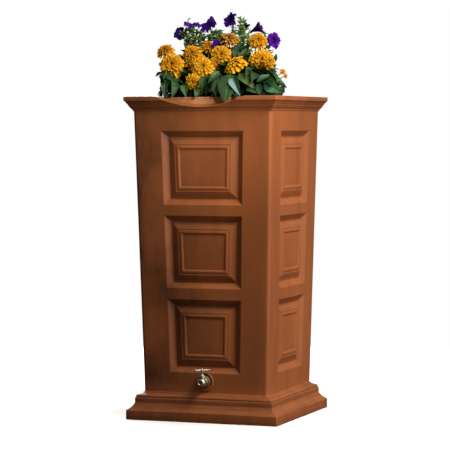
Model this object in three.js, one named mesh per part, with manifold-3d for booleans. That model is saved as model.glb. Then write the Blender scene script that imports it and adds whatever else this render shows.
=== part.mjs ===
// Rain barrel with a lift-out planter top, a debris screen and a quarter-turn brass spigot.
// Millimetres, +Z up. The origin is the centre of the base, on the ground. The front, with the spigot and the
// overflow dip, faces -Y. Every piece is one closed solid in a mesh of its own.
import * as THREE from 'three';
import { mergeVertices } from 'three/addons/utils/BufferGeometryUtils.js';
import Module from 'manifold-3d';

const wasm = await Module();
wasm.setup();

// ---------------------------------------------------------------- driving dimensions
const HEIGHT = 1219.2;            // rim top above ground
const RIM_HALF = 305;             // half width over the rim
const WALL = 5;                   // moulded wall
const BODY_LOW = [249.5, 105];    // body half width and height at its foot
const BODY_SLOPE = 0.0262;        // half width gained per mm of height
const BODY_TOP = 1165;            // underside of the cornice
const CORNER_R = 14;              // vertical body corners
const PANEL_MARGIN = 112;         // body edge to panel edge
const PANELS = [[182, 456.5], [500.5, 771.5], [813.5, 1089]];
// panel moulding as [inset from the panel edge, depth below the face]
const PANEL_STEPS = [[0, 0], [22, 18.6], [25, 17.4], [48, 9.6], [50.5, 7.2], [62, 4], [64, 4.2], [70, 7.6]];
const PANEL_BACK = [[-3.2, 3.8], [18.8, 22.6], [25, 23.6], [50, 14], [63, 9.2], [66, 9.4], [70, 12.6]];

const SKIRT_IN = 252;             // opening inside the rolled rim
const SKIRT_T = 5;
const LEDGE_TOP = 1150;           // ledge the tray and the screen rest on
const LEDGE_T = 6;
const LEDGE_IN = 228;             // clear opening inside the ledge
const BAR_Y = [118, 146];         // cross bar between tray and screen
const BAR_BOTTOM = 1128;
const GAP = 0.3;                  // clearance between pieces that meet

const DIP_HALF = 174;             // overflow dip in the front rim
const DIP_OUT = 1181;             // its lowest point at the outer face
const DIP_IN = 1188.5;            // and at the inner face
const DIP_CURVE = 0.00126;        // rise = DIP_CURVE * x^2

const SPIGOT_Z = 149.5;           // spigot axis height
const SPIGOT_BALL_Y = -281.5;       // stem and ball centre
const SPIGOT_MOUTH_Y = -301;    // outlet face
const SEAT_Y = -251.5;            // flat moulded seat outside
const PAD_Y = -243;               // flat pad inside
const SHANK_R = 13.2;
const HANDLE_TURN = 42;           // degrees from across the outlet, as drawn
const HANDLE_LENGTH = 64;
const HANDLE_Z = 195.5;

const TRAY_X = 240, TRAY_FRONT = -240, TRAY_BACK = 130;   // upper wall, outside
const TRAY_LOW_X = 222, TRAY_LOW_FRONT = -222, TRAY_LOW_BACK = 112;
const TRAY_TOP = 1216.5, TRAY_BOTTOM = 1046, TRAY_T = 4;
const SOIL_TOP = 1196;

const SCREEN_X = 251.5, SCREEN_Y = [136.5, 251.5];
const WINDOW_X = 230, WINDOW_Y = [157, 231];

// ---------------------------------------------------------------- solids
function clean(geometry) {
  let g = geometry.index ? geometry.clone() : geometry;
  for (const name of ['normal', 'uv']) if (g.getAttribute(name)) g.deleteAttribute(name);
  g = mergeVertices(g, 1e-4);
  const p = g.getAttribute('position'), old = g.getIndex().array, kept = [];
  let volume = 0;
  const a = new THREE.Vector3(), b = new THREE.Vector3(), c = new THREE.Vector3();
  for (let i = 0; i < old.length; i += 3) {
    const [u, v, w] = [old[i], old[i + 1], old[i + 2]];
    if (u === v || v === w || u === w) continue;
    kept.push(u, v, w);
    a.fromBufferAttribute(p, u); b.fromBufferAttribute(p, v); c.fromBufferAttribute(p, w);
    volume += a.dot(b.cross(c)) / 6;
  }
  if (volume < 0) for (let i = 0; i < kept.length; i += 3) [kept[i + 1], kept[i + 2]] = [kept[i + 2], kept[i + 1]];
  g.setIndex(kept);
  return g;
}

function toSolid(geometry) {
  const g = clean(geometry);
  return new wasm.Manifold(new wasm.Mesh({
    numProp: 3,
    vertProperties: new Float32Array(g.getAttribute('position').array),
    triVerts: new Uint32Array(g.getIndex().array),
  }));
}

function toGeometry(manifold) {
  const mesh = manifold.getMesh();
  const g = new THREE.BufferGeometry();
  const stride = mesh.numProp, count = mesh.vertProperties.length / stride;
  const xyz = new Float32Array(count * 3);
  for (let i = 0; i < count; i++) for (let k = 0; k < 3; k++) xyz[i * 3 + k] = mesh.vertProperties[i * stride + k];
  g.setAttribute('position', new THREE.BufferAttribute(xyz, 3));
  g.setIndex(Array.from(mesh.triVerts));
  return g;
}

// a solid through rings of equal point count, each ring convex
function loft(rings) {
  const n = rings[0].length, xyz = rings.flat(2), index = [];
  for (let i = 0; i + 1 < rings.length; i++) for (let j = 0; j < n; j++) {
    const a = i * n + j, b = i * n + (j + 1) % n, c = a + n, d = b + n;
    index.push(a, b, d, a, d, c);
  }
  const last = (rings.length - 1) * n;
  for (let j = 1; j + 1 < n; j++) index.push(0, j + 1, j, last, last + j, last + j + 1);
  const g = new THREE.BufferGeometry();
  g.setAttribute('position', new THREE.BufferAttribute(new Float32Array(xyz), 3));
  g.setIndex(index);
  return g;
}

// rounded square ring of half width w at height z
function squareRing(w, z, r, steps = 4) {
  const ring = [];
  for (let k = 0; k < 4; k++) {
    const mid = Math.PI / 4 + k * Math.PI / 2;
    const cx = Math.sign(Math.cos(mid)) * (w - r), cy = Math.sign(Math.sin(mid)) * (w - r);
    for (let s = 0; s <= steps; s++) {
      const t = mid - Math.PI / 4 + (s / steps) * Math.PI / 2;
      ring.push([cx + r * Math.cos(t), cy + r * Math.sin(t), z]);
    }
  }
  return ring;
}
const squareLoft = (profile, steps = 4) => loft(profile.map(([w, z, r]) => squareRing(w, z, r, steps)));

function box(x0, x1, y0, y1, z0, z1) {
  return new THREE.BoxGeometry(x1 - x0, y1 - y0, z1 - z0).translate((x0 + x1) / 2, (y0 + y1) / 2, (z0 + z1) / 2);
}
// a turned solid about +Z: [radius, height] pairs; a ring's profile is closed back to its first point
function turned(points, segments = 22) {
  const onAxis = points[0][0] === 0 && points[points.length - 1][0] === 0;
  const path = (onAxis ? points : [...points, points[0]]).map(([r, z]) => new THREE.Vector2(r, z));
  return new THREE.LatheGeometry(path, segments).rotateX(Math.PI / 2);
}
// the same, about the spigot's axis: [radius, y] pairs
const turnedY = (points, segments = 22) => turned(points.map(([r, y]) => [r, -y]), segments).rotateX(Math.PI / 2).translate(0, 0, SPIGOT_Z);
// and about the stem's axis
const turnedStem = (points, segments = 22) => turned(points, segments).translate(0, SPIGOT_BALL_Y, 0);
const quarter = (geometry, k) => geometry.clone().rotateZ(k * Math.PI / 2);
const bodyHalf = (z) => BODY_LOW[0] + BODY_SLOPE * (z - BODY_LOW[1]);

// ---------------------------------------------------------------- barrel shell
const OUTER = [
  [302.3, 0, 3], [302.3, 35, 3], [300.5, 36.4, 3], [294, 41, 3], [286.5, 47, 4], [279.5, 56, 5], [276, 64.5, 6],
  [276.2, 73, 6], [275, 82, 6], [271.5, 88, 7], [266, 93.5, 8], [256.5, 99.5, 10], [254, 100.6, 11], [253.2, 103, 12],
  [251, 104, 13], [BODY_LOW[0], BODY_LOW[1], CORNER_R], [bodyHalf(BODY_TOP), BODY_TOP, CORNER_R], [278.6, 1168, 9],
  [280.5, 1172, 6], [285.2, 1176.5, 4], [289.5, 1183, 3], [295, 1190.5, 3], [300, 1198.5, 3], [RIM_HALF, 1203.5, 3],
  [RIM_HALF, HEIGHT - 2, 3], [RIM_HALF - 2, HEIGHT, 3],
];
const INNER = [
  [297, 8, 4], [297, 32, 4], [288, 40, 4], [280.5, 46, 5], [274, 56, 5], [270.8, 66, 6], [270.8, 80, 6],
  [266, 86, 7], [258, 92, 8], [247, 100, 10], [244.6, 106, 10], [bodyHalf(BODY_TOP) - WALL, BODY_TOP, 10],
  [277, 1174, 6], [284, 1184, 4], [294, 1199, 4], [299.5, 1206, 4], [299.5, HEIGHT - WALL, 4],
];

function panelSolid(z0, z1, steps, outwards) {
  const ring = (inset, depth) => {
    const lo = z0 + inset, hi = z1 - inset;
    const wl = bodyHalf(lo), wh = bodyHalf(hi);
    const xl = wl - PANEL_MARGIN - inset, xh = wh - PANEL_MARGIN - inset;
    return [[-xl, -(wl - depth), lo], [xl, -(wl - depth), lo], [xh, -(wh - depth), hi], [-xh, -(wh - depth), hi]];
  };
  return loft([...steps].reverse().map(([i, d]) => ring(i, d)).concat([ring(steps[0][0], -outwards)]));
}

const dipHeight = (x, y) => {
  const t = Math.min(1, Math.max(0, (y + RIM_HALF) / (RIM_HALF - SKIRT_IN)));
  return DIP_OUT + t * (DIP_IN - DIP_OUT) + DIP_CURVE * x * x;
};
// a block over the dip whose underside follows it, lowered by drop
function dipBlock(half, y0, y1, drop, top) {
  const rings = [], ys = [y0, ...[-RIM_HALF, -SKIRT_IN].filter((y) => y > y0 + 1 && y < y1 - 1), y1], n = 28;
  const xyz = [], index = [];
  for (let i = 0; i <= n; i++) {
    const x = -half + (2 * half * i) / n;
    for (const y of ys) xyz.push(x, y, dipHeight(x, y) - drop);
    for (const y of ys) xyz.push(x, y, top);
  }
  const m = ys.length, row = 2 * m;
  for (let i = 0; i < n; i++) for (let j = 0; j + 1 < m; j++) {
    const a = i * row + j, b = a + 1, c = a + row, d = b + row;
    index.push(a, b, d, a, d, c);                       // underside
    index.push(a + m, d + m, b + m, a + m, c + m, d + m); // top
  }
  for (let i = 0; i < n; i++) for (const j of [0, m - 1]) {
    const a = i * row + j, c = a + row;
    const side = [a, c, c + m, a, c + m, a + m];
    index.push(...(j === 0 ? side : side.reverse()));
  }
  for (let j = 0; j + 1 < m; j++) for (const i of [0, n]) {
    const a = i * row + j, b = a + 1;
    const side = [a, a + m, b + m, a, b + m, b];
    index.push(...(i === 0 ? side : side.reverse()));
  }
  const g = new THREE.BufferGeometry();
  g.setAttribute('position', new THREE.BufferAttribute(new Float32Array(xyz), 3));
  g.setIndex(index);
  return g;
}

function barrelShell() {
  let outer = toSolid(squareLoft(OUTER));
  let cavity = toSolid(squareLoft(INNER));
  for (const [z0, z1] of PANELS) for (let k = 0; k < 4; k++) {
    outer = outer.subtract(toSolid(quarter(panelSolid(z0, z1, PANEL_STEPS, 10), k)));
    cavity = cavity.subtract(toSolid(quarter(panelSolid(z0, z1, PANEL_BACK, 10), k)));
  }
  // raised ring with a flat seat inside it for the spigot, and a flat pad behind
  outer = outer.add(toSolid(turnedY([[0, -247], [34, -247], [34, -254.5], [32.5, -256], [30.5, -256], [29, -254.5], [29, SEAT_Y], [0, SEAT_Y]], 32)));
  outer = outer.subtract(toSolid(turnedY([[0, -262], [29, -262], [29, SEAT_Y], [0, SEAT_Y]], 32)));
  cavity = cavity.subtract(toSolid(turnedY([[0, -262], [30, -262], [30, PAD_Y], [0, PAD_Y]], 32)));
  let shell = outer.subtract(cavity);
  shell = shell.subtract(toSolid(turnedY([[0, -280], [14, -280], [14, -230], [0, -230]], 32)));
  // rolled rim: opening, skirt, ledge and cross bar
  const mid = HEIGHT - WALL;
  shell = shell.subtract(toSolid(squareLoft([[SKIRT_IN, mid - 8, 10], [SKIRT_IN, HEIGHT - 3, 10], [SKIRT_IN + 3, HEIGHT, 12], [SKIRT_IN + 3, HEIGHT + 5, 12]])));
  const skirt = toSolid(squareLoft([[SKIRT_IN + SKIRT_T, LEDGE_TOP - LEDGE_T, 13], [SKIRT_IN + SKIRT_T, HEIGHT - 4, 13]]))
    .subtract(toSolid(squareLoft([[SKIRT_IN, LEDGE_TOP, 10], [SKIRT_IN, HEIGHT + 1, 10]])))
    .subtract(toSolid(box(-LEDGE_IN, LEDGE_IN, -LEDGE_IN, LEDGE_IN, LEDGE_TOP - 30, LEDGE_TOP + 1)));
  shell = shell.add(skirt);
  shell = shell.add(toSolid(box(-LEDGE_IN - 10, LEDGE_IN + 10, BAR_Y[0], BAR_Y[1], BAR_BOTTOM, LEDGE_TOP)));
  // the front rim is filled under the dip, then the dip is cut
  const fill = toSolid(dipBlock(DIP_HALF + 8, -RIM_HALF + 1, -SKIRT_IN - 4, WALL, HEIGHT - 3));
  shell = shell.add(fill.intersect(toSolid(squareLoft(OUTER))));
  shell = shell.subtract(toSolid(dipBlock(DIP_HALF + 4, -RIM_HALF - 12, -SKIRT_IN + 6, 0, HEIGHT + 30)));
  // slots in the front ledge let surplus water past the tray
  for (const x of [-150, 0, 150]) shell = shell.subtract(toSolid(box(x - 45, x + 45, -250, -242, LEDGE_TOP - 20, LEDGE_TOP + 2)));
  // the underside is hollowed a little, so the barrel stands on a foot around its edge
  shell = shell.subtract(toSolid(loft([
    squareRing(272, -5, 10), squareRing(272, 0, 10), squareRing(268, 3, 10),
  ])));
  return toGeometry(shell);
}

// ---------------------------------------------------------------- spigot
function spigotBody() {
  const y = SPIGOT_BALL_Y, m = SPIGOT_MOUTH_Y;
  const thread = [];
  for (let i = 0; i < 4; i++) { const t = -290.2 - i * 2.6; thread.push([SHANK_R - 1, t], [SHANK_R, t - 0.7], [SHANK_R, t - 1.3], [SHANK_R - 1, t - 2]); }
  let body = toSolid(turnedY([
    [0, -226], [SHANK_R - 0.8, -226], [SHANK_R, -227], [SHANK_R, -255.1], [23, -255.1], [23.6, -256], [23.6, -258.2], [22.6, -259.1],
    [13.6, -259.6], [12.6, -262], [12.4, -266], [13, -269], [14.6, -273], [15.2, -278], [15.2, -286], [14.2, -289], ...thread,
    [SHANK_R - 1.6, m], [0, m],
  ], 32));
  body = body.add(toSolid(turnedStem([[0, SPIGOT_Z], [9.6, SPIGOT_Z], [9.6, 160], [9.2, 162], [9.2, 170], [0, 170]], 22)));
  body = body.add(toSolid(new THREE.CylinderGeometry(15.6, 15.6, 5, 6).rotateY(Math.PI / 6).translate(0, -264.5, SPIGOT_Z)));
  body = body.subtract(toSolid(turnedY([[0, -220], [9.4, -220], [9.4, y - 9.9], [0, y - 9.9]], 22)));
  body = body.subtract(toSolid(turnedY([[0, -270], [6.5, -270], [6.5, m + 1.4], [8, m - 5], [0, m - 5]], 22)));
  body = body.subtract(toSolid(turnedStem([[0, SPIGOT_Z], [3.6, SPIGOT_Z], [3.6, 164], [6.2, 164], [6.2, 175], [0, 175]], 24)));
  return toGeometry(body);
}
function spigotBall() {
  let ball = toSolid(new THREE.SphereGeometry(9, 20, 12).rotateX(Math.PI / 2));
  ball = ball.subtract(toSolid(turned([[0, -12], [5.5, -12], [5.5, 12], [0, 12]], 24).rotateY(Math.PI / 2)));
  ball = ball.subtract(toSolid(box(-12, 12, -1.9, 1.9, 6.2, 12)));
  return toGeometry(ball).rotateZ(THREE.MathUtils.degToRad(HANDLE_TURN)).translate(0, SPIGOT_BALL_Y, SPIGOT_Z);
}
const seatRing = (side) => turnedY([[5.8, SPIGOT_BALL_Y + side * 7.6], [9.1, SPIGOT_BALL_Y + side * 3.6], [9.1, SPIGOT_BALL_Y + side * 9.6], [5.8, SPIGOT_BALL_Y + side * 9.6]], 20);
function spigotStem() {
  const top = HANDLE_Z + 1;
  let stem = toSolid(turnedStem([[0, 158.8], [3.2, 158.8], [3.2, top - 0.6], [2.7, top], [0, top]], 20));
  const flat = toSolid(box(-2.9, 2.9, -1.55, 1.55, 156.1, 159.2).rotateZ(THREE.MathUtils.degToRad(HANDLE_TURN)).translate(0, SPIGOT_BALL_Y, 0));
  stem = stem.add(flat);
  stem = stem.subtract(toSolid(turnedStem([[0, top - 9], [2.2, top - 9], [2.2, top + 2], [0, top + 2]], 16)));
  return toGeometry(stem);
}
function packingNut() {
  let nut = toSolid(new THREE.CylinderGeometry(12.9, 12.9, 12, 6).rotateX(Math.PI / 2).translate(0, SPIGOT_BALL_Y, 170.8));
  nut = nut.add(toSolid(turnedStem([[0, 174], [9, 174], [8.4, 178.6], [5.6, 179.6], [0, 179.6]], 22)));
  nut = nut.subtract(toSolid(turnedStem([[0, 160], [9.55, 160], [9.55, 170.4], [0, 170.4]], 22)));
  nut = nut.subtract(toSolid(turnedStem([[0, 165], [3.6, 165], [3.6, 185], [0, 185]], 20)));
  return toGeometry(nut);
}
function tHandle() {
  const half = HANDLE_LENGTH / 2, arm = [[0, -half], [2.4, -half + 0.5], [4.1, -half + 2.4], [4.3, -half + 4.4], [3.7, -half + 6.6], [3.1, -half + 8.2], [3.6, -10], [4.2, -5]];
  const mirrored = arm.map(([r, t]) => [r, -t]).reverse();
  let handle = toSolid(turned([...arm, ...mirrored], 20).rotateY(Math.PI / 2).translate(0, 0, HANDLE_Z));
  handle = handle.add(toSolid(turned([[0, 187], [5.2, 187], [6.2, 188], [6.4, 191], [7, 194], [6.6, 198.4], [5.4, 200.4], [0, 200.4]], 24)));
  handle = handle.subtract(toSolid(turned([[0, 180], [3.5, 180], [3.5, HANDLE_Z + 1.4], [0, HANDLE_Z + 1.4]], 20)));
  handle = handle.subtract(toSolid(turned([[0, 180], [2.2, 180], [2.2, 205], [0, 205]], 16)));
  return toGeometry(handle).rotateZ(THREE.MathUtils.degToRad(HANDLE_TURN)).translate(0, SPIGOT_BALL_Y, 0);
}
function handleScrew() {
  let screw = toSolid(turnedStem([[0, 188.6], [1.4, 188.6], [1.9, 189.4], [1.9, 200.7], [4.1, 200.7], [4.1, 201.6], [3.2, 202.7], [1.4, 203.2], [0, 203.2]], 18));
  screw = screw.subtract(toSolid(box(-6, 6, SPIGOT_BALL_Y - 0.45, SPIGOT_BALL_Y + 0.45, 202, 206)));
  return toGeometry(screw);
}
function lockNut() {
  const nut = toSolid(new THREE.CylinderGeometry(20.8, 20.8, 8, 6).translate(0, -235.4, SPIGOT_Z))
    .subtract(toSolid(turnedY([[0, -245], [13.5, -245], [13.5, -225], [0, -225]], 22)));
  return toGeometry(nut);
}
const washer = (r0, r1, y0, y1) => turnedY([[r0, y0], [r1, y0], [r1, y1], [r0, y1]], 24);

// ---------------------------------------------------------------- planter
function planterTray() {
  const t = TRAY_T, step = LEDGE_TOP + GAP;
  let tray = toSolid(box(-TRAY_X, TRAY_X, TRAY_FRONT, TRAY_BACK, step, TRAY_TOP));
  tray = tray.add(toSolid(box(-TRAY_LOW_X, TRAY_LOW_X, TRAY_LOW_FRONT, TRAY_LOW_BACK, TRAY_BOTTOM, step + 1)));
  tray = tray.subtract(toSolid(box(-TRAY_X + t, TRAY_X - t, TRAY_FRONT + t, TRAY_BACK - t, step + t, TRAY_TOP + 5)));
  tray = tray.subtract(toSolid(box(-TRAY_LOW_X + t, TRAY_LOW_X - t, TRAY_LOW_FRONT + t, TRAY_LOW_BACK - t, TRAY_BOTTOM + t, step + t + 1)));
  for (const x of [-150, -50, 50, 150]) for (const y of [-150, 40]) {
    tray = tray.subtract(toSolid(turned([[0, TRAY_BOTTOM - 5], [6, TRAY_BOTTOM - 5], [6, TRAY_BOTTOM + 10], [0, TRAY_BOTTOM + 10]], 16).translate(x, y, 0)));
  }
  return toGeometry(tray);
}
function pottingSoil() {
  const t = TRAY_T + GAP, step = LEDGE_TOP + GAP;
  const low = toSolid(box(-TRAY_LOW_X + t, TRAY_LOW_X - t, TRAY_LOW_FRONT + t, TRAY_LOW_BACK - t, TRAY_BOTTOM + t, step + 8));
  const high = toSolid(box(-TRAY_X + t, TRAY_X - t, TRAY_FRONT + t, TRAY_BACK - t, step + t, SOIL_TOP));
  return toGeometry(low.add(high));
}
// a plant: one stem under a leafy canopy that is open below
function plant(x0, x1, y0, y1, top) {
  const base = 1224, skin = 0.93, a = (x1 - x0) / 2, b = (y1 - y0) / 2, h = top - base;
  const dome = [[1, 0], [0.995, 0.22], [0.96, 0.45], [0.86, 0.68], [0.66, 0.86], [0.36, 0.97]];
  const path = [[0, SOIL_TOP + GAP], [0.09, SOIL_TOP + GAP], [0.09, base + h * 0.9]];
  for (const [r, z] of [...dome].reverse()) path.push([r * skin, base + (z === 0 ? 0 : h * z * skin)]);
  for (const [r, z] of dome) path.push([r, base + h * z]);
  path.push([0, top]);
  return turned(path, 14).scale(a, b, 1).translate((x0 + x1) / 2, (y0 + y1) / 2, 0);
}

// ---------------------------------------------------------------- debris screen
function frameRing(z0, z1) {
  let ring = toSolid(box(-SCREEN_X, SCREEN_X, SCREEN_Y[0], SCREEN_Y[1], z0, z1))
    .subtract(toSolid(box(-WINDOW_X, WINDOW_X, WINDOW_Y[0], WINDOW_Y[1], z0 - 5, z1 + 5)));
  for (const [x, y] of SCREEN_SCREWS) ring = ring.subtract(toSolid(turned([[0, z0 - 5], [2, z0 - 5], [2, z1 + 5], [0, z1 + 5]], 12).translate(x, y, 0)));
  // the corners clear the rounded corners of the rim opening
  for (const sx of [-1, 1]) ring = ring.subtract(toSolid(box(-9, 9, -9, 9, z0 - 5, z1 + 5).rotateZ(Math.PI / 4).translate(sx * (SCREEN_X + 2.2), SCREEN_Y[1] + 2.2, 0)));
  return ring;
}
const SCREEN_SCREWS = [[-245.5, 142], [245.5, 142], [-243, 243.5], [243, 243.5]];
function screenFrame() {
  const pull = toSolid(box(-22, 22, 146, 149, 1158, 1176));
  return toGeometry(frameRing(1155, 1161).add(pull));
}
function screenMesh() {
  let mesh = toSolid(box(-238, 238, 151, 237, 1153.7, 1154.7));
  const nx = 16, ny = 3, bar = 3, w = (2 * WINDOW_X - bar) / nx - bar, h = (WINDOW_Y[1] - WINDOW_Y[0] - bar) / ny - bar;
  for (let i = 0; i < nx; i++) for (let j = 0; j < ny; j++) {
    const x = -WINDOW_X + bar + i * (w + bar), y = WINDOW_Y[0] + bar + j * (h + bar);
    mesh = mesh.subtract(toSolid(box(x, x + w, y, y + h, 1152, 1156)));
  }
  return toGeometry(mesh);
}
function screenScrew([x, y]) {
  let screw = toSolid(turned([[0, 1150.6], [1.2, 1150.6], [1.7, 1151.4], [1.7, 1161.3], [3.2, 1161.3], [3.2, 1162.2], [2.2, 1163.2], [0, 1163.4]], 14));
  screw = screw.subtract(toSolid(box(-5, 5, -0.4, 0.4, 1162.5, 1166)));
  return toGeometry(screw).translate(x, y, 0);
}

// ---------------------------------------------------------------- assembly
const look = {
  terracotta: { color: 0x8a4a2b, roughness: 0.42, metalness: 0 },
  terracotta_light: { color: 0xb4663f, roughness: 0.5, metalness: 0 },
  brass: { color: 0xb0a060, roughness: 0.28, metalness: 1 },
  nickel: { color: 0xb9b6ae, roughness: 0.25, metalness: 1 },
  ptfe: { color: 0xe8e6df, roughness: 0.6, metalness: 0 },
  rubber: { color: 0x1c1c1c, roughness: 0.85, metalness: 0 },
  soil: { color: 0x2b1d13, roughness: 0.95, metalness: 0 },
  leaf: { color: 0x2f5a2c, roughness: 0.6, metalness: 0 },
  screen: { color: 0x2a2a2a, roughness: 0.6, metalness: 0 },
  steel: { color: 0xa8abad, roughness: 0.3, metalness: 1 },
};
const barrel = new THREE.Group();
function piece(name, geometry, kind) {
  const g = clean(geometry);
  g.computeVertexNormals();
  const mesh = new THREE.Mesh(g, new THREE.MeshStandardMaterial(look[kind]));
  mesh.name = name;
  barrel.add(mesh);
}

piece('barrel_shell', barrelShell(), 'terracotta');

piece('spigot_body', spigotBody(), 'brass');
piece('spigot_gasket_outer', washer(13.7, 22, -251.8, -254.8), 'rubber');
piece('spigot_gasket_inner', washer(13.7, 22, -239.7, -242.7), 'rubber');
piece('spigot_locknut', lockNut(), 'brass');
piece('ball_seat_front', seatRing(-1), 'ptfe');
piece('ball_seat_rear', seatRing(1), 'ptfe');
piece('seat_retainer', turnedY([[6, SPIGOT_BALL_Y + 9.9], [9.1, SPIGOT_BALL_Y + 9.9], [9.1, SPIGOT_BALL_Y + 16], [6, SPIGOT_BALL_Y + 16]], 20), 'brass');
piece('stem_packing', turnedStem([[3.5, 164.3], [5.9, 164.3], [5.9, 170], [3.5, 170]], 20), 'ptfe');
piece('packing_nut', packingNut(), 'brass');
piece('spigot_ball', spigotBall(), 'nickel');
piece('spigot_stem', spigotStem(), 'nickel');
piece('t_handle', tHandle(), 'nickel');
piece('handle_screw', handleScrew(), 'steel');

piece('planter_tray', planterTray(), 'terracotta_light');
piece('potting_soil', pottingSoil(), 'soil');
piece('marigold_plant_left', plant(-290, -100, -262, -62, 1424), 'leaf');
piece('marigold_plant_centre', plant(-99, 91, -262, -62, 1405), 'leaf');
piece('marigold_plant_right', plant(92, 276, -262, -62, 1440), 'leaf');
piece('petunia_plant_left', plant(-268, -90, -61, 128, 1489), 'leaf');
piece('petunia_plant_centre', plant(-89, 97, -61, 128, 1547), 'leaf');
piece('petunia_plant_right', plant(98, 270, -61, 128, 1505), 'leaf');

piece('screen_retainer', toGeometry(frameRing(LEDGE_TOP + GAP, LEDGE_TOP + GAP + 3)), 'screen');
piece('screen_mesh', screenMesh(), 'screen');
piece('screen_frame', screenFrame(), 'screen');
SCREEN_SCREWS.forEach((at, i) => piece(`screen_screw_${i + 1}`, screenScrew(at), 'steel'));

export default barrel;
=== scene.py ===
import math
import random

import bmesh
import bpy
import numpy as np
from mathutils import Matrix, Vector, noise


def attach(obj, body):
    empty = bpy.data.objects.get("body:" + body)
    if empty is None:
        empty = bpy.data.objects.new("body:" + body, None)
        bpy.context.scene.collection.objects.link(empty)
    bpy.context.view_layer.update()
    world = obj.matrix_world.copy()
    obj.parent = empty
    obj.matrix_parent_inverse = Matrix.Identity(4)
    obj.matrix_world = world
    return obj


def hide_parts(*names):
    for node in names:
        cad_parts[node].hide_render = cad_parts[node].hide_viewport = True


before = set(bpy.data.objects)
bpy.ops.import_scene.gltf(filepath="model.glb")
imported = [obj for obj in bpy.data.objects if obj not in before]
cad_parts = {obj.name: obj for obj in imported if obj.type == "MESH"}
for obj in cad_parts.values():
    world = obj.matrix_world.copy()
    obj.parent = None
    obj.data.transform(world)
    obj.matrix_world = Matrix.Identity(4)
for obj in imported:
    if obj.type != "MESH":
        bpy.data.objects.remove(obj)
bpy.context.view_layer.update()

MM = 0.001
scene = bpy.context.scene

# ------------------------------------------------------------------ camera
F_PX, YAW, PITCH, ROLL = 2169.24, 0.3621, 0.0440, -0.0035
EYE = Vector((2944.1, -7805.2, 1094.5))
FWD = Vector((-math.sin(YAW) * math.cos(PITCH), math.cos(YAW) * math.cos(PITCH), -math.sin(PITCH)))
_r = Vector((math.cos(YAW), math.sin(YAW), 0))
_u = _r.cross(FWD)
RIGHT = math.cos(ROLL) * _r + math.sin(ROLL) * _u
UP = -math.sin(ROLL) * _r + math.cos(ROLL) * _u
cam = bpy.data.objects.new("camera", bpy.data.cameras.new("camera"))
scene.collection.objects.link(cam)
cam.data.sensor_width = 36
cam.data.lens = 36 * F_PX / 450
cam.data.clip_end = 100
cam.matrix_world = Matrix(((RIGHT.x, UP.x, -FWD.x, EYE.x * MM), (RIGHT.y, UP.y, -FWD.y, EYE.y * MM),
                           (RIGHT.z, UP.z, -FWD.z, EYE.z * MM), (0, 0, 0, 1)))
scene.camera = cam


def sight(u, v, y):
    """The point of the sight line through (u, v) of the 450 x 450 frame that has this y, in mm."""
    d = FWD + RIGHT * ((u - 225) / F_PX) - UP * ((v - 225) / F_PX)
    return EYE + d * ((y - EYE.y) / d.y)


# ------------------------------------------------------------------ mesh helpers
def put(name, verts, faces, sharp=32, tint=None, blade=None):
    me = bpy.data.meshes.new(name)
    me.from_pydata([(x * MM, y * MM, z * MM) for x, y, z in verts], [], faces)
    if tint is not None:
        a = me.color_attributes.new("tint", "FLOAT_COLOR", "POINT")
        a.data.foreach_set("color", np.array([[*c, 1.0] for c in tint], np.float32).ravel())
    if blade is not None:
        a = me.attributes.new("blade", "FLOAT_VECTOR", "POINT")
        a.data.foreach_set("vector", np.array(blade, np.float32).ravel())
    me.update()
    me.polygons.foreach_set("use_smooth", [True] * len(me.polygons))
    if sharp:
        me.set_sharp_from_angle(angle=math.radians(sharp))
    ob = bpy.data.objects.new(name, me)
    scene.collection.objects.link(ob)
    return ob


def bake(ob):
    """Applies an object's modifiers."""
    bpy.context.view_layer.update()
    dg = bpy.context.evaluated_depsgraph_get()
    me = bpy.data.meshes.new_from_object(ob.evaluated_get(dg))
    ob.modifiers.clear()
    old = ob.data
    ob.data = me
    bpy.data.meshes.remove(old)


def outwards(ob):
    bm = bmesh.new()
    bm.from_mesh(ob.data)
    bmesh.ops.recalc_face_normals(bm, faces=bm.faces)
    bm.to_mesh(ob.data)
    bm.free()


def boolean(ob, tool, op):
    m = ob.modifiers.new("cut", "BOOLEAN")
    m.operation = op
    m.solver = "EXACT"
    m.object = tool
    bake(ob)
    bpy.data.objects.remove(tool)


def join(name, obs):
    """One object from several, materials kept by slot."""
    bm = bmesh.new()
    mats, at = [], []
    for o in obs:
        index = {}
        for i, s in enumerate(o.material_slots):
            if s.material not in mats:
                mats.append(s.material)
            index[i] = mats.index(s.material)
        n = len(bm.faces)
        bm.from_mesh(o.data)
        bm.faces.ensure_lookup_table()
        for f in bm.faces[n:]:
            f.material_index = index.get(f.material_index, 0)
    me = bpy.data.meshes.new(name)
    bm.to_mesh(me)
    bm.free()
    for m in mats:
        me.materials.append(m)
    for o in obs:
        bpy.data.objects.remove(o)
    ob = bpy.data.objects.new(name, me)
    scene.collection.objects.link(ob)
    return ob


def sharpen(ob, deg=32):
    ob.data.polygons.foreach_set("use_smooth", [True] * len(ob.data.polygons))
    ob.data.set_sharp_from_angle(angle=math.radians(deg))


def soften(profile, radius=0.35, closed=False):
    """Rounds the corners of a turned profile."""
    n, out = len(profile), []
    for i, p in enumerate(profile):
        if not closed and i in (0, n - 1):
            out.append(p)
            continue
        a, b = profile[i - 1], profile[(i + 1) % n]
        la, lb = math.dist(p, a), math.dist(p, b)
        if la < 1e-6 or lb < 1e-6:
            continue
        ra, rb = min(radius, la * 0.45), min(radius, lb * 0.45)
        s = (p[0] + (a[0] - p[0]) * ra / la, p[1] + (a[1] - p[1]) * ra / la)
        e = (p[0] + (b[0] - p[0]) * rb / lb, p[1] + (b[1] - p[1]) * rb / lb)
        out += [s, ((s[0] + e[0] + 2 * p[0]) / 4, (s[1] + e[1] + 2 * p[1]) / 4), e]
    return out


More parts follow.
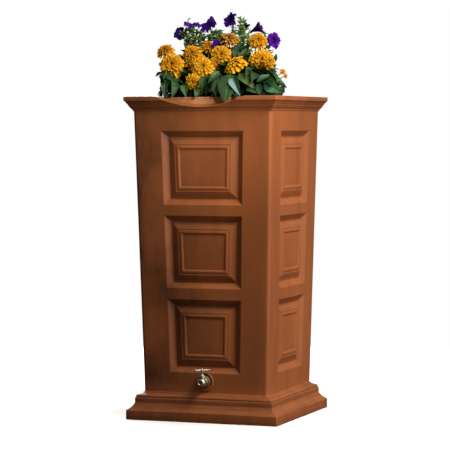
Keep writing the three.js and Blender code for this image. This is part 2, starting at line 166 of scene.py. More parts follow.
def lathe(name, profile, n=48, place=lambda x, y, h: (x, y, h), closed=False, sharp=40):
    """A turned solid; profile is (radius, height) pairs from axis to axis, or a closed loop."""
    verts, rows = [], []
    for r, h in profile:
        if r < 1e-6:
            rows.append([len(verts)])
            verts.append(place(0, 0, h))
        else:
            rows.append(list(range(len(verts), len(verts) + n)))
            verts += [place(r * math.cos(2 * math.pi * k / n), r * math.sin(2 * math.pi * k / n), h) for k in range(n)]
    faces = []
    pairs = list(zip(rows, rows[1:])) + ([(rows[-1], rows[0])] if closed else [])
    for a, b in pairs:
        for k in range(n):
            j = (k + 1) % n
            if len(a) == 1 and len(b) == 1:
                continue
            if len(a) == 1:
                faces.append((a[0], b[j], b[k]))
            elif len(b) == 1:
                faces.append((a[k], a[j], b[0]))
            else:
                faces.append((a[k], a[j], b[j], b[k]))
    ob = put(name, verts, faces, sharp=0)
    outwards(ob)
    sharpen(ob, sharp)
    return ob


def rings(name, loops, cap=True, sharp=30):
    """A surface through loops of equal point count; cap closes both ends, else the last loop joins the first."""
    n = len(loops[0])
    verts = [p for loop in loops for p in loop]
    faces = []
    m = len(loops)
    for i in range(m - 1 if cap else m):
        a, b = i * n, ((i + 1) % m) * n
        for j in range(n):
            k = (j + 1) % n
            faces.append((a + j, a + k, b + k, b + j))
    if cap:
        faces.append(tuple(reversed(range(n))))
        faces.append(tuple(range((m - 1) * n, m * n)))
    ob = put(name, verts, faces, sharp=0)
    outwards(ob)
    sharpen(ob, sharp)
    return ob


def rect(x0, x1, y0, y1, r, z, steps=5):
    """A rounded rectangle, anticlockwise from above."""
    r = max(r, 0.01)
    out = []
    for k, (cx, cy) in enumerate(((x1 - r, y1 - r), (x0 + r, y1 - r), (x0 + r, y0 + r), (x1 - r, y0 + r))):
        for s in range(steps + 1):
            t = math.radians(90 * k + 90 * s / steps)
            out.append((cx + r * math.cos(t), cy + r * math.sin(t), z))
    return out


def piece(ob, body, *nodes, slot=None, mat=None):
    if mat is not None:
        ob.data.materials.clear()
        ob.data.materials.append(mat)
    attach(ob, body)
    if nodes:
        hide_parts(*nodes)
    return ob


# ------------------------------------------------------------------ materials
class Graph:
    def __init__(self, name):
        self.mat = bpy.data.materials.new(name)
        self.mat.use_nodes = True
        self.t = self.mat.node_tree
        self.bsdf = self.t.nodes["Principled BSDF"]
        self.coord = self.t.nodes.new("ShaderNodeTexCoord")

    def node(self, kind, **inputs):
        n = self.t.nodes.new(kind)
        for k, v in inputs.items():
            key = k.replace("_", " ")
            if key in n.inputs:
                self.feed(n.inputs[key], v)
            elif isinstance(v, (int, float, str, bool)):
                setattr(n, k, v)
        return n

    def feed(self, socket, v):
        if isinstance(v, bpy.types.NodeSocket):
            self.t.links.new(v, socket)
        elif isinstance(v, bpy.types.Node):
            self.t.links.new(v.outputs[0], socket)
        else:
            socket.default_value = v

    def noise(self, scale, detail=4.0, rough=0.55, stretch=None, offset=0.0):
        src = self.coord.outputs["Object"]
        if stretch or offset:
            mp = self.t.nodes.new("ShaderNodeMapping")
            mp.inputs["Scale"].default_value = stretch or (1, 1, 1)
            mp.inputs["Location"].default_value = (offset, offset * 0.7, offset * 1.3)
            self.t.links.new(src, mp.inputs["Vector"])
            src = mp.outputs["Vector"]
        n = self.t.nodes.new("ShaderNodeTexNoise")
        self.t.links.new(src, n.inputs["Vector"])
        n.inputs["Scale"].default_value = scale
        n.inputs["Detail"].default_value = detail
        n.inputs["Roughness"].default_value = rough
        return n.outputs["Fac"]

    def ramp(self, fac, stops):
        n = self.t.nodes.new("ShaderNodeValToRGB")
        while len(n.color_ramp.elements) < len(stops):
            n.color_ramp.elements.new(0.5)
        for e, (p, c) in zip(n.color_ramp.elements, stops):
            e.position = p
            e.color = (*c, 1) if len(c) == 3 else c
        self.t.links.new(fac, n.inputs["Fac"])
        return n.outputs["Color"]

    def span(self, fac, lo, hi, a=0.3, b=0.7):
        n = self.t.nodes.new("ShaderNodeMapRange")
        self.t.links.new(fac, n.inputs["Value"])
        n.inputs["From Min"].default_value = a
        n.inputs["From Max"].default_value = b
        n.inputs["To Min"].default_value = lo
        n.inputs["To Max"].default_value = hi
        return n.outputs["Result"]

    def mix(self, fac, a, b, blend="MIX"):
        n = self.t.nodes.new("ShaderNodeMix")
        n.data_type = "RGBA"
        n.blend_type = blend
        self.feed(n.inputs[0], fac)
        self.feed(n.inputs[6], (*a, 1) if isinstance(a, tuple) and len(a) == 3 else a)
        self.feed(n.inputs[7], (*b, 1) if isinstance(b, tuple) and len(b) == 3 else b)
        return n.outputs[2]

    def math(self, op, a, b=0.0, c=0.0):
        n = self.t.nodes.new("ShaderNodeMath")
        n.operation = op
        self.feed(n.inputs[0], a)
        self.feed(n.inputs[1], b)
        self.feed(n.inputs[2], c)
        return n.outputs[0]

    def bump(self, height, strength, distance, under=None):
        n = self.t.nodes.new("ShaderNodeBump")
        n.inputs["Strength"].default_value = strength
        n.inputs["Distance"].default_value = distance
        self.t.links.new(height, n.inputs["Height"])
        if under is not None:
            self.t.links.new(under, n.inputs["Normal"])
        return n.outputs["Normal"]

    def done(self, **sockets):
        for k, v in sockets.items():
            self.feed(self.bsdf.inputs[k.replace("_", " ")], v)
        return self.mat


def srgb(h):
    c = [int(h[i:i + 2], 16) / 255 for i in (0, 2, 4)]
    return tuple(x / 12.92 if x <= 0.04045 else ((x + 0.055) / 1.055) ** 2.4 for x in c)


def plastic(name, base, light, dark, rough=(0.42, 0.56), seed=0.0, mottle_and_shade=None):
    g = Graph(name)
    broad = g.noise(3.2, 5, 0.6, stretch=(1, 1, 0.55), offset=seed + 1)
    streak = g.noise(9.0, 4, 0.6, stretch=(1, 1, 0.16), offset=seed + 4)
    speck = g.noise(260.0, 2, 0.6, offset=seed + 7)
    col = g.mix(g.span(broad, 0, 0.75), base, light)
    col = g.mix(g.span(streak, 0, 0.45, 0.45, 0.75), col, dark)
    col = g.mix(g.span(speck, 0, 0.16, 0.5, 0.72), col, dark)
    if mottle_and_shade:
        # painted shade with mottling: a dark brown mixed in noisy patches, heavier low down and towards the left of the
        # front where the light falls off, with streaks at the foot
        at = g.t.nodes.new("ShaderNodeSeparateXYZ")
        g.t.links.new(g.coord.outputs["Object"], at.inputs[0])
        side = g.math("MULTIPLY", g.span(at.outputs["X"], 0.85, 0.05, -0.25, 0.08), g.span(at.outputs["Y"], 1.0, 0.3, -0.235, -0.19))
        low = g.math("MULTIPLY", g.span(at.outputs["Z"], 0.36, 0.0, 0.05, 1.05), g.span(at.outputs["X"], 1.0, 0.3, 0.1, 0.27))
        foot = g.math("MULTIPLY", g.span(at.outputs["Z"], 0.16, 0.0, 0.085, 0.12), g.span(at.outputs["X"], 1.0, 0.1, 0.2, 0.3))
        patch = g.span(g.noise(5.0, 4, 0.55, stretch=(1, 1, 0.6), offset=seed + 13), 0.2, 1.0, 0.34, 0.66)
        patch = g.math("MULTIPLY", patch, g.span(at.outputs["Z"], 0.3, 1.0, 0.09, 0.16))
        fac = g.math("ADD", g.math("MULTIPLY", patch, g.math("ADD", side, low)), foot)
        brush = g.span(g.noise(26.0, 4, 0.6, stretch=(0.12, 0.12, 4.0), offset=seed + 19), 0.0, 0.34, 0.42, 0.7)
        fac = g.math("ADD", fac, g.math("MULTIPLY", brush, g.span(at.outputs["Z"], 1.0, 0.0, 0.10, 0.13)))
        unevenness = g.span(g.noise(70.0, 4, 0.65, stretch=(1, 1, 0.3), offset=seed + 17), 0.8, 1.15)
        col = g.mix(g.math("MULTIPLY", fac, unevenness), col, mottle_and_shade)
    fine = g.noise(620.0, 3, 0.5, offset=seed + 9)
    peel = g.noise(120.0, 3, 0.45, offset=seed + 11)
    n = g.bump(peel, 0.16, 0.0012)
    n = g.bump(fine, 0.10, 0.0004, n)
    return g.done(Base_Color=col, Roughness=g.span(g.noise(14, 5, 0.6, offset=seed + 3), *rough), Normal=n, Specular_IOR_Level=0.34)


def metal(name, base, worn, dark, rough=(0.2, 0.34), scale=60.0):
    g = Graph(name)
    col = g.mix(g.span(g.noise(scale, 5, 0.65), 0, 1), base, worn)
    col = g.mix(g.span(g.noise(scale * 0.5, 6, 0.7, offset=3), 0, 0.7, 0.52, 0.78), col, dark)
    n = g.bump(g.noise(scale * 9, 3, 0.55, offset=5), 0.12, 0.0004)
    n = g.bump(g.noise(scale * 1.6, 3, 0.5, offset=6), 0.10, 0.0012, n)
    return g.done(Base_Color=col, Metallic=1.0, Roughness=g.span(g.noise(scale * 2, 4, 0.6, offset=8), *rough), Normal=n)


def plain(name, base, alt, rough=(0.6, 0.8), scale=90.0, bump=0.15):
    g = Graph(name)
    col = g.mix(g.span(g.noise(scale, 5, 0.6), 0, 1), base, alt)
    n = g.bump(g.noise(scale * 4, 4, 0.6, offset=2), bump, 0.0006)
    return g.done(Base_Color=col, Roughness=g.span(g.noise(scale, 3, 0.5, offset=5), *rough), Normal=n)


M = {}
# the last colour is painted shade and mottling, darker low down and to the left of the front
M["terracotta"] = plastic("terracotta_plastic", srgb("a65d31"), srgb("b26736"), srgb("753e20"), mottle_and_shade=srgb("4a2916"))
M["tray"] = plastic("tray_plastic", srgb("dd9560"), srgb("e6a26c"), srgb("bf774a"), (0.42, 0.55), 20)
M["brass"] = metal("aged_brass", srgb("b4ae8c"), srgb("cfcbb2"), srgb("7c765a"), (0.34, 0.48))
M["nickel"] = metal("worn_nickel", srgb("aeaca0"), srgb("c2c0b4"), srgb("77746a"), (0.36, 0.5))
M["steel"] = metal("steel", srgb("a9abac"), srgb("c4c6c7"), srgb("6d6f70"), (0.24, 0.38))
M["ptfe"] = plain("ptfe", srgb("e6e3da"), srgb("d8d4c8"), (0.5, 0.65))
M["rubber"] = plain("black_rubber", (0.014, 0.014, 0.014), (0.028, 0.027, 0.026), (0.7, 0.9))
M["screen_plastic"] = plain("screen_plastic", (0.022, 0.020, 0.019), (0.036, 0.033, 0.030), (0.45, 0.6), 120)
M["screen_wire"] = metal("screen_wire", srgb("55575a"), srgb("77797b"), srgb("2c2c2d"), (0.35, 0.5), 300)


def soil_material():
    g = Graph("potting_mix")
    a = g.noise(55, 6, 0.7)
    col = g.ramp(a, [(0.25, (0.008, 0.005, 0.003)), (0.5, (0.028, 0.017, 0.010)), (0.72, (0.075, 0.048, 0.028))])
    n = g.bump(g.noise(240, 5, 0.7, offset=3), 0.8, 0.003)
    return g.done(Base_Color=col, Roughness=g.span(a, 0.8, 0.98), Normal=n)


def leaf_material(name, vein, gloss):
    """Green from the piece's own tint, a pale midrib and side veins from the leaf's own u, v."""
    g = Graph(name)
    tint = g.t.nodes.new("ShaderNodeAttribute")
    tint.attribute_name = "tint"
    where = g.t.nodes.new("ShaderNodeAttribute")
    where.attribute_name = "blade"
    sep = g.t.nodes.new("ShaderNodeSeparateXYZ")
    g.t.links.new(where.outputs["Vector"], sep.inputs[0])
    across = g.math("ABSOLUTE", g.math("SUBTRACT", sep.outputs[0], 0.5))
    rib = g.math("SUBTRACT", 1.0, g.math("MULTIPLY", across, 22.0))
    rib = g.math("MAXIMUM", rib, 0.0)
    phase = g.math("SUBTRACT", g.math("MULTIPLY", sep.outputs[1], 8.0), g.math("MULTIPLY", across, 4.5))
    saw = g.math("ABSOLUTE", g.math("SUBTRACT", g.math("FRACT", phase), 0.5))
    side = g.math("MAXIMUM", g.math("SUBTRACT", 1.0, g.math("MULTIPLY", saw, 9.0)), 0.0)
    lines = g.math("MAXIMUM", rib, g.math("MULTIPLY", side, 0.45))
    col = g.mix(g.span(g.noise(45, 4, 0.6), 0, 0.55), tint.outputs["Color"], g.mix(1.0, tint.outputs["Color"], (0.68, 0.74, 0.62), "MULTIPLY"))
    col = g.mix(g.math("MULTIPLY", lines, 0.55), col, vein)
    h = g.math("ADD", g.math("MULTIPLY", lines, -0.8), g.math("MULTIPLY", g.noise(160, 3, 0.5), 0.35))
    return g.done(Base_Color=col, Roughness=g.span(g.noise(60, 3, 0.5, offset=4), *gloss), Normal=g.bump(h, 0.55, 0.0012),
                  Subsurface_Weight=0.06, Subsurface_Scale=0.004, Specular_IOR_Level=0.3)


def petal_material(name, streak_colour, amount, rough=(0.5, 0.65), scale=180.0, spec=0.35):
    g = Graph(name)
    tint = g.t.nodes.new("ShaderNodeAttribute")
    tint.attribute_name = "tint"
    fleck = g.noise(scale, 4, 0.65)
    col = g.mix(g.span(fleck, 0, amount, 0.35, 0.75), tint.outputs["Color"], streak_colour)
    n = g.bump(g.noise(scale * 2.2, 3, 0.5, offset=5), 0.25, 0.0008)
    return g.done(Base_Color=col, Roughness=g.span(g.noise(90, 3, 0.5, offset=2), *rough), Normal=n, Specular_IOR_Level=spec,
                  Subsurface_Weight=0.1, Subsurface_Scale=0.004)


M["soil"] = soil_material()
M["leaf"] = leaf_material("zinnia_leaf", srgb("5f8c4a"), (0.42, 0.6))
M["fine_leaf"] = leaf_material("petunia_leaf", srgb("9cc070"), (0.5, 0.65))
M["zinnia"] = petal_material("zinnia_petal", srgb("d07c06"), 0.4, (0.6, 0.75), 180.0, 0.15)
M["petunia"] = petal_material("petunia_petal", srgb("2a065e"), 0.6, (0.7, 0.85), 120.0, 0.08)
M["stem"] = petal_material("stem", srgb("35591f"), 0.6, (0.5, 0.7), 90.0)

# ------------------------------------------------------------------ barrel shell
RIM, HEIGHT, SKIRT, LEDGE, LEDGE_IN = 305.0, 1219.2, 252.0, 1150.0, 228.0
MOULD = [(-3, 0), (-1.2, 0.02), (0.2, 0.45), (1.6, 1.6), (11.5, 9.95), (20.2, 17.3), (21.5, 18.25), (22.4, 18.4), (23.2, 17.6),
         (24.0, 16.6), (25.0, 16.3), (26.2, 16.5), (27.4, 16.0), (36, 11.6), (44, 7.75), (45.8, 7.45), (46.8, 6.7), (47.9, 5.9),
         (49.2, 5.7), (51.2, 6.1), (52.4, 6.4), (53.6, 6.1), (55.2, 5.3), (58, 4.6), (61.2, 4.05), (62.6, 3.9), (64.2, 4.05), (65.4, 4.6),
         (68.2, 7.4), (69.4, 8.0), (71.2, 7.8)]
MI = [m[0] for m in MOULD]
MD = [m[1] for m in MOULD]
PANELS = [(182, 456.5), (500.5, 771.5), (813.5, 1089)]
BASE = [(268, 3, 6), (272, 0, 8), (300.8, 0, 3), (302, 0.5, 3), (302.3, 1.6, 3), (302.3, 18, 3), (302.3, 33.6, 3), (302.1, 34.8, 3),
        (301.4, 35.8, 3), (300.3, 36.5, 3), (297.4, 38.5, 3), (294, 41, 3), (290, 44, 3), (286.5, 47, 3), (282.6, 51.5, 3),
        (279.6, 56, 3.5), (277.4, 60.5, 3.5), (276.3, 63.6, 4), (276.3, 66, 4), (276.6, 70, 4), (276.6, 78.5, 4), (276.3, 80.6, 4),
        (275.3, 82.2, 4), (273.6, 83.4, 4), (272.9, 84.6, 4), (273.2, 85.8, 4.5), (273.9, 86.8, 5), (273.9, 88.6, 5), (272.8, 90.8, 6), (269.6, 93.2, 6.5),
        (265.4, 95.4, 7), (260.6, 97.6, 8), (257, 98.9, 9),
        (255.6, 99.4, 9.5), (254.9, 100.2, 10), (254.7, 101.4, 10), (254.2, 102.3, 11), (253.0, 102.7, 11), (252.2, 103.3, 12),
        (251.8, 104.4, 12.5), (251.0, 105.3, 13), (249.9, 106.1, 14), (249.6, 108, 14)]
CORNICE = [(277.3, 1161.5, 14), (277.5, 1163.6, 13), (278.1, 1165, 11), (279.4, 1166, 9), (280.1, 1167.4, 8), (280.2, 1169.6, 7),
           (280.6, 1171, 6), (281.8, 1172.4, 5), (284.6, 1175.3, 4), (287.2, 1179, 3), (288.4, 1181.4, 3), (289.6, 1182.4, 3),
           (290.3, 1183.6, 3), (290.6, 1185.4, 3), (292, 1188, 3), (294.8, 1191.6, 3), (297.6, 1195.6, 3), (299.8, 1199.2, 3),
           (301.2, 1201, 3), (303, 1202.1, 3), (304.4, 1202.9, 3), (305, 1204.1, 3), (305, 1209, 3), (305, 1217, 3)]
INNER = [(299.5, 1206, 4), (294, 1199, 4), (284, 1184, 4), (277, 1174, 6), (272.3, 1164, 9)]
INNER_LOW = [(244.6, 106, 10), (247, 100, 9), (258, 92, 8), (266, 86, 7), (270.8, 80, 6), (270.8, 66, 6), (274, 56, 5),
             (280.5, 46, 5), (288, 40, 4), (297, 32, 4), (297, 10, 4), (295, 8, 4)]


def body_half(z):
    return 249.5 + 0.0262 * (min(max(z, 105), 1165) - 105)


def mould_depth(x, z):
    for z0, z1 in PANELS:
        if z0 - 4 < z < z1 + 4:
            inset = min(z - z0, z1 - z, body_half(z) - 112 - abs(x))
            return float(np.interp(inset, MI, MD))
    return 0.0


def side_columns(z, w, r):
    wp = body_half(z) - 112
    end = w - r
    out = [wp - i for i in reversed(MI)]
    out += [wp + 7, wp + 12, wp + 20]
    out += [wp + 20 + (end - wp - 20) * t for t in (0.3, 0.65, 1.0)]
    inner = wp - MI[-1]
    mid = [inner * k / 7 for k in range(-6, 7)]
    return [-x for x in reversed(out)] + mid + out


def dip(x, low):
    z = low + 0.00126 * x * x
    k = 5.0                                   # soft shoulder
    h = max(k - abs(z - HEIGHT), 0) / k
    return min(z, HEIGHT) - h * h * k * 0.25


W_OUT = [c[0] for c in CORNICE]
Z_OUT = [c[1] for c in CORNICE]
W_INN = [c[0] for c in reversed(INNER)]
Z_INN = [c[1] for c in reversed(INNER)]


def ring_of(w, z, r, front=None, depth=None, steps=6):
    """One loop round the barrel; front(x) gives (half width, z) on the front side, depth(x) the moulding."""
    loop = []
    cols = side_columns(z, w, r)
    for k in range(4):
        c, s = round(math.cos(k * math.pi / 2)), round(math.sin(k * math.pi / 2))
        pts = []
        for x in cols:
            ww, zz = front(x) if front and k == 0 else (w, z)
            pts.append((x, -(ww - (depth(x) if depth else 0)), zz))
        for i in range(1, steps):
            t = -math.pi / 2 + (math.pi / 2) * i / steps
            pts.append((w - r + r * math.cos(t), -(w - r) + r * math.sin(t), z))
        loop += [(x * c - y * s, x * s + y * c, zz) for x, y, zz in pts]
    return loop


def barrel_shell():
    loops = [ring_of(*b) for b in BASE]
    zs = []
    low = 108
    for z0, z1 in PANELS:
        zs += [low + (z0 - 3 - low) * t for t in (0.33, 0.67)]
        zs += [z0 + i for i in MI]
        zs += [z0 + 71.2 + (z1 - z0 - 142.4) * t for t in (0.25, 0.5, 0.75)]
        zs += [z1 - i for i in reversed(MI)]
        low = z1 + 3
    zs += [low + (1161 - low) * t for t in (0.33, 0.67, 0.95)]
    for z in zs:
        w = body_half(z)
        loops.append(ring_of(w, z, 14, depth=lambda x, z=z: mould_depth(x, z)))
    drop = 2.4
    for w, z, r in CORNICE:
        def clipped(x, z=z):
            zz = min(z, dip(x, 1181) - drop)
            return float(np.interp(zz, Z_OUT, W_OUT)), zz
        loops.append(ring_of(w, z, r, front=clipped))
    for dw, dz in ((0.25, 1.3), (1.0, 0.45), (2.2, 0.05), (3.4, 0)):
        def edge(x, dw=dw, dz=dz):
            zo = dip(x, 1181)
            return float(np.interp(zo - drop, Z_OUT, W_OUT)) - dw, zo - dz
        loops.append(ring_of(RIM - dw, HEIGHT - dz, 3 + dw * 0.3, front=edge))
    for t in (0.2, 0.45, 0.7, 0.9, 1.0):
        def top(x, t=t):
            zo, zi = dip(x, 1181), dip(x, 1188.5)
            wo = float(np.interp(zo - drop, Z_OUT, W_OUT)) - 3.4
            return wo + (255.5 - wo) * t, zo + (zi - zo) * (t ** 1.4)
        loops.append(ring_of(301.6 + (255.5 - 301.6) * t, HEIGHT, 3 + 8 * t, front=top))
    for w, dz in ((253.4, 0.5), (252.4, 1.7), (252, 3.4)):
        loops.append(ring_of(w, HEIGHT - dz, 10.5, front=lambda x, w=w, dz=dz: (w, dip(x, 1188.5) - dz)))
    for w, z, r in ((252, 1180, 10), (252, 1153, 10), (251.3, 1151, 9), (249.5, 1150, 9), (229.5, 1150, 4), (228.4, 1149.5, 4),
                    (228, 1148, 4), (228, 1146, 4), (229, 1144.3, 4), (256, 1144, 12), (257, 1145, 13)):
        loops.append(ring_of(w, z, r))
    loops.append(ring_of(257, 1212, 13, front=lambda x: (257, min(1212, dip(x, 1188.5) - 6))))
    loops.append(ring_of(258, 1214.2, 13, front=lambda x: (258, min(1214.2, dip(x, 1188.5) - 5))))
    loops.append(ring_of(298, 1214.2, 4, front=lambda x: (min(298, float(np.interp(min(1214.2, dip(x, 1181) - 6), Z_INN, W_INN)) - 1),
                                                         min(1214.2, dip(x, 1181) - 5))))
    for w, z, r in INNER:
        def under(x, z=z):
            zz = min(z, dip(x, 1181) - 6)
            return float(np.interp(zz, Z_INN, W_INN)), zz
        loops.append(ring_of(w, z, r, front=under))
    keep = [-3, 1.6, 20.2, 22.5, 26.4, 47.8, 50.4, 62.6, 65.4, 71.2]
    for z0, z1 in reversed(PANELS):
        for z in [z1 - i for i in keep] + [z0 + i for i in reversed(keep)]:
            w = body_half(z) - 5
            loops.append(ring_of(w, z, 10, depth=lambda x, z=z: mould_depth(x, z)))
    loops += [ring_of(*b) for b in INNER_LOW]
    n = len(loops[0])
    verts = [p for loop in loops for p in loop]
    faces = []
    for i in range(len(loops) - 1):
        a, b = i * n, (i + 1) * n
        for j in range(n):
            k = (j + 1) % n
            faces.append((a + j, a + k, b + k, b + j))
    faces.append(tuple(reversed(range(n))))
    faces.append(tuple(range((len(loops) - 1) * n, len(loops) * n)))
    ob = put("barrel", verts, faces, sharp=0)
    bm = bmesh.new()
    bm.from_mesh(ob.data)
    # quads that straddle a mitre are split along the crease
    bmesh.ops.remove_doubles(bm, verts=bm.verts, dist=2e-6)
    creased = [f for f in bm.faces if len(f.verts) == 4 and max(abs((f.verts[i].co - f.verts[0].co).dot(f.normal)) for i in range(4)) > 2e-6]
    tri = []
    for f in creased:
        v = f.verts
        mid = f.calc_center_median()
        # the crease joins the two corners of equal inset: try both diagonals and keep the one nearer the true surface
        d0 = (v[0].co + v[2].co) / 2
        d1 = (v[1].co + v[3].co) / 2
        if abs(mid.z) * 1000 > 105 and abs(mid.z) * 1000 < 1165:
            def err(p):
                x, y = p.x * 1000, p.y * 1000
                if abs(y) < abs(x):
                    x, y = y, x
                target = body_half(p.z * 1000) - mould_depth(x, p.z * 1000)
                return min(abs(abs(y) - target), abs(abs(y) - target + 5))
            tri.append((f, (v[0], v[2]) if err(d0) <= err(d1) else (v[1], v[3])))
    for f, (a, b) in tri:
        bmesh.utils.face_split(f, a, b)
    bmesh.ops.recalc_face_normals(bm, faces=bm.faces)
    bm.to_mesh(ob.data)
    bm.free()
    return ob


SPZ, BALL_Y, MOUTH_Y = 149.5, -281.5, -301.0


def along_y(x, y, h):
    return (x, h, SPZ + y)


def along_stem(x, y, h):
    return (x, BALL_Y + y, h)


def barrel():
    ob = barrel_shell()
    # spigot boss: raised ring round a flat seat, hole through, and a thicker pad inside
    boss = lathe("boss", [(0, -239.5 - 3.5), (28.5, -243), (30, -244), (30, -249), (34.6, -249), (34.4, -253), (33.9, -254.8), (32.9, -255.8), (31.6, -256),
                          (30.3, -255.6), (29.4, -254.6), (29, -253.2), (28.6, -252), (27.4, -251.5), (0, -251.5)], 72, along_y)
    boolean(ob, boss, "UNION")
    hole = lathe("hole", [(0, -275), (14, -275), (14, -230), (0, -230)], 48, along_y)
    boolean(ob, hole, "DIFFERENCE")
    for x in (-150, 0, 150):
        cut = rings("slot", [rect(x - 45, x + 45, -250, -242, 3.9, z) for z in (1135, 1155)])
        boolean(ob, cut, "DIFFERENCE")
    sharpen(ob, 24)
    bar = rings("bar", [rect(-240, 240, 118.8, 145.2, 0.5, 1128), rect(-240, 240, 118.2, 145.8, 0.8, 1128.6), rect(-240, 240, 118, 146, 1, 1130),
                        rect(-240, 240, 118, 146, 1, 1148), rect(-240, 240, 118.3, 145.7, 1, 1149.4), rect(-240, 240, 119.2, 144.8, 1, 1149.9)])
    ob = join("barrel_shell_fine", [ob, bar])
    return piece(ob, "barrel", "barrel_shell", slot="terracotta", mat=M["terracotta"])


barrel()

# ------------------------------------------------------------------ spigot
def hex_nut(name, af, h0, h1, bore, place, n=48, chamfer=1.2):
    def hexr(t):
        a = (math.degrees(t) % 60) - 30
        return (af / 2) / math.cos(math.radians(a))
    def loop(h, f):
        return [place(f(2 * math.pi * k / n) * math.cos(2 * math.pi * k / n), f(2 * math.pi * k / n) * math.sin(2 * math.pi * k / n), h) for k in range(n)]
    top = af / 2 * 0.985
    s = 1 if h1 > h0 else -1
    loops = [loop(h0, lambda t: bore), loop(h0, lambda t: top), loop(h0 + s * chamfer * 0.45, lambda t: min(hexr(t), af / 2 * 1.07)),
             loop(h0 + s * chamfer, hexr), loop(h1 - s * chamfer, hexr), loop(h1 - s * chamfer * 0.45, lambda t: min(hexr(t), af / 2 * 1.07)),
             loop(h1, lambda t: top), loop(h1, lambda t: bore)]
    return rings(name, loops, cap=False, sharp=28)


def spigot():
    r = 13.2
    thread = []
    for i in range(4):
        t = -290.2 - i * 2.6
        thread += [(r - 1.1, t), (r - 0.1, t - 0.75), (r, t - 1.0), (r - 0.1, t - 1.25), (r - 1.1, t - 2.0)]
    outer = [(9.4, -226), (12.4, -226), (r, -227.2), (r, -255.1), (22.4, -255.1), (23.3, -255.7), (23.6, -256.7), (23.3, -258.2), (22, -259),
             (15, -259.4), (13.4, -260), (12.7, -262), (12.4, -266), (12.9, -269), (14.2, -272.4), (15.1, -276), (15.3, -281), (15.1, -285),
             (14.5, -288), (13.2, -289.4), (12.2, -290.0)] + thread + [(11.4, -300.7), (10.9, MOUTH_Y), (8.3, MOUTH_Y), (7.9, -300.7), (6.5, -299.3),
             (6.5, -291.4), (9.4, -291.4)]
    body = lathe("spigot_turned", outer, 64, along_y, closed=True, sharp=35)
    neck = lathe("spigot_neck", [(3.6, 158), (9.6, 158), (9.6, 160.5), (9.9, 162), (9.2, 163), (9.2, 169.6), (8.8, 170), (6.2, 170), (6.2, 164), (3.6, 164)],
                 48, along_stem, closed=True)
    hexa = hex_nut("spigot_hex", 27, -262, -267, 12.0, lambda x, y, h: (x, h, SPZ + y))
    ob = join("spigot_body_fine", [body, neck, hexa])
    sharpen(ob, 32)
    piece(ob, "barrel", "spigot_body", slot="brass", mat=M["brass"])

    nut = hex_nut("nut", 22.3, 164.8, 175.4, 9.6, along_stem)
    cap = lathe("cap", [(3.6, 173), (8.6, 173), (9.2, 174.8), (8.9, 177), (7.6, 178.8), (5.4, 179.6), (4.0, 179.6), (3.6, 179.2)], 48, along_stem, closed=True)
    ob = join("packing_nut_fine", [nut, cap])
    sharpen(ob, 32)
    piece(ob, "barrel", "packing_nut", slot="brass", mat=M["brass"])

    ob = hex_nut("locknut_fine", 36, -231.4, -239.4, 13.5, along_y, chamfer=1.6)
    piece(ob, "barrel", "spigot_locknut", slot="brass", mat=M["brass"])
    for name, y0, y1 in (("spigot_gasket_outer", -251.8, -254.8), ("spigot_gasket_inner", -239.7, -242.7)):
        ob = lathe(name + "_fine", soften([(13.7, y0), (22, y0), (22, y1), (13.7, y1)], 0.8, True), 56, along_y, closed=True)
        piece(ob, "barrel", name, slot="rubber", mat=M["rubber"])

    stem = lathe("stem_fine", soften([(0, 158.8), (3.2, 158.8), (3.2, 181), (2.9, 181.6), (2.9, 184.4), (3.2, 185), (3.2, 195.9), (2.2, 196.5), (2.2, 187.5), (0, 187.5)], 0.25), 32, along_stem)
    turn = Matrix.Rotation(math.radians(42), 4, "Z")
    def turned_box(x, y, h):
        p = turn @ Vector((x, y, 0))
        return (p.x, BALL_Y + p.y, h)
    tang = rings("tang", [[turned_box(px, py, z) for px, py, _ in rect(-2.9, 2.9, -1.55, 1.55, 0.4, 0)] for z in (156.1, 159.1)])
    ob = join("spigot_stem_fine", [stem, tang])
    sharpen(ob, 32)
    piece(ob, "valve", "spigot_stem", slot="nickel", mat=M["nickel"])

    # cast T handle: arms and hub melted together, then the bores are cut
    half = 32.0
    arm = [(0, -half), (1.6, -half + 0.12), (3.0, -half + 0.8), (3.9, -half + 2.0), (4.3, -half + 3.7), (4.1, -half + 5.2), (3.4, -half + 6.6), (3.0, -half + 8.0),
           (3.05, -half + 10), (3.3, -15), (3.7, -10), (4.3, -6), (4.6, 0)]
    arm += [(a, -b) for a, b in reversed(arm[:-1])]
    def bar_place(x, y, h):
        p = turn @ Vector((h, x, 0))
        return (p.x, BALL_Y + p.y, 195.5 + y)
    bar = lathe("arm", arm, 32, bar_place)
    hub = lathe("hub", soften([(0, 187), (5.2, 187), (6.1, 188), (6.3, 191), (6.9, 194), (6.5, 198.4), (5.2, 200.4), (0, 200.4)], 0.6), 32, along_stem)
    ob = join("t_handle_fine", [bar, hub])
    m = ob.modifiers.new("melt", "REMESH")
    m.mode = "VOXEL"
    m.voxel_size = 0.00042
    m.use_smooth_shade = True
    m = ob.modifiers.new("smooth", "SMOOTH")
    m.factor = 0.5
    m.iterations = 5
    bake(ob)
    boolean(ob, lathe("bore", [(0, 180), (3.5, 180), (3.5, 196.9), (2.2, 197.0), (2.2, 205), (0, 205)], 32, along_stem), "DIFFERENCE")
    sharpen(ob, 40)
    piece(ob, "valve", "t_handle", slot="nickel", mat=M["nickel"])

    head = lathe("screw_fine", soften([(0, 188.6), (1.4, 188.6), (1.9, 189.4), (1.9, 200.7), (4.1, 200.7), (4.1, 201.5), (3.4, 202.5), (1.9, 203.1), (0, 203.2)], 0.2), 32, along_stem)
    cut = rings("cut", [[turned_box(px, py, z) for px, py, _ in rect(-6, 6, -0.45, 0.45, 0.05, 0)] for z in (202, 206)])
    boolean(head, cut, "DIFFERENCE")
    sharpen(head, 32)
    piece(head, "valve", "handle_screw", slot="steel", mat=M["steel"])


spigot()

# ------------------------------------------------------------------ planter tray and soil
TX, TF, TB = 240.0, -240.0, 130.0
LX, LF, LB = 222.0, -222.0, 112.0


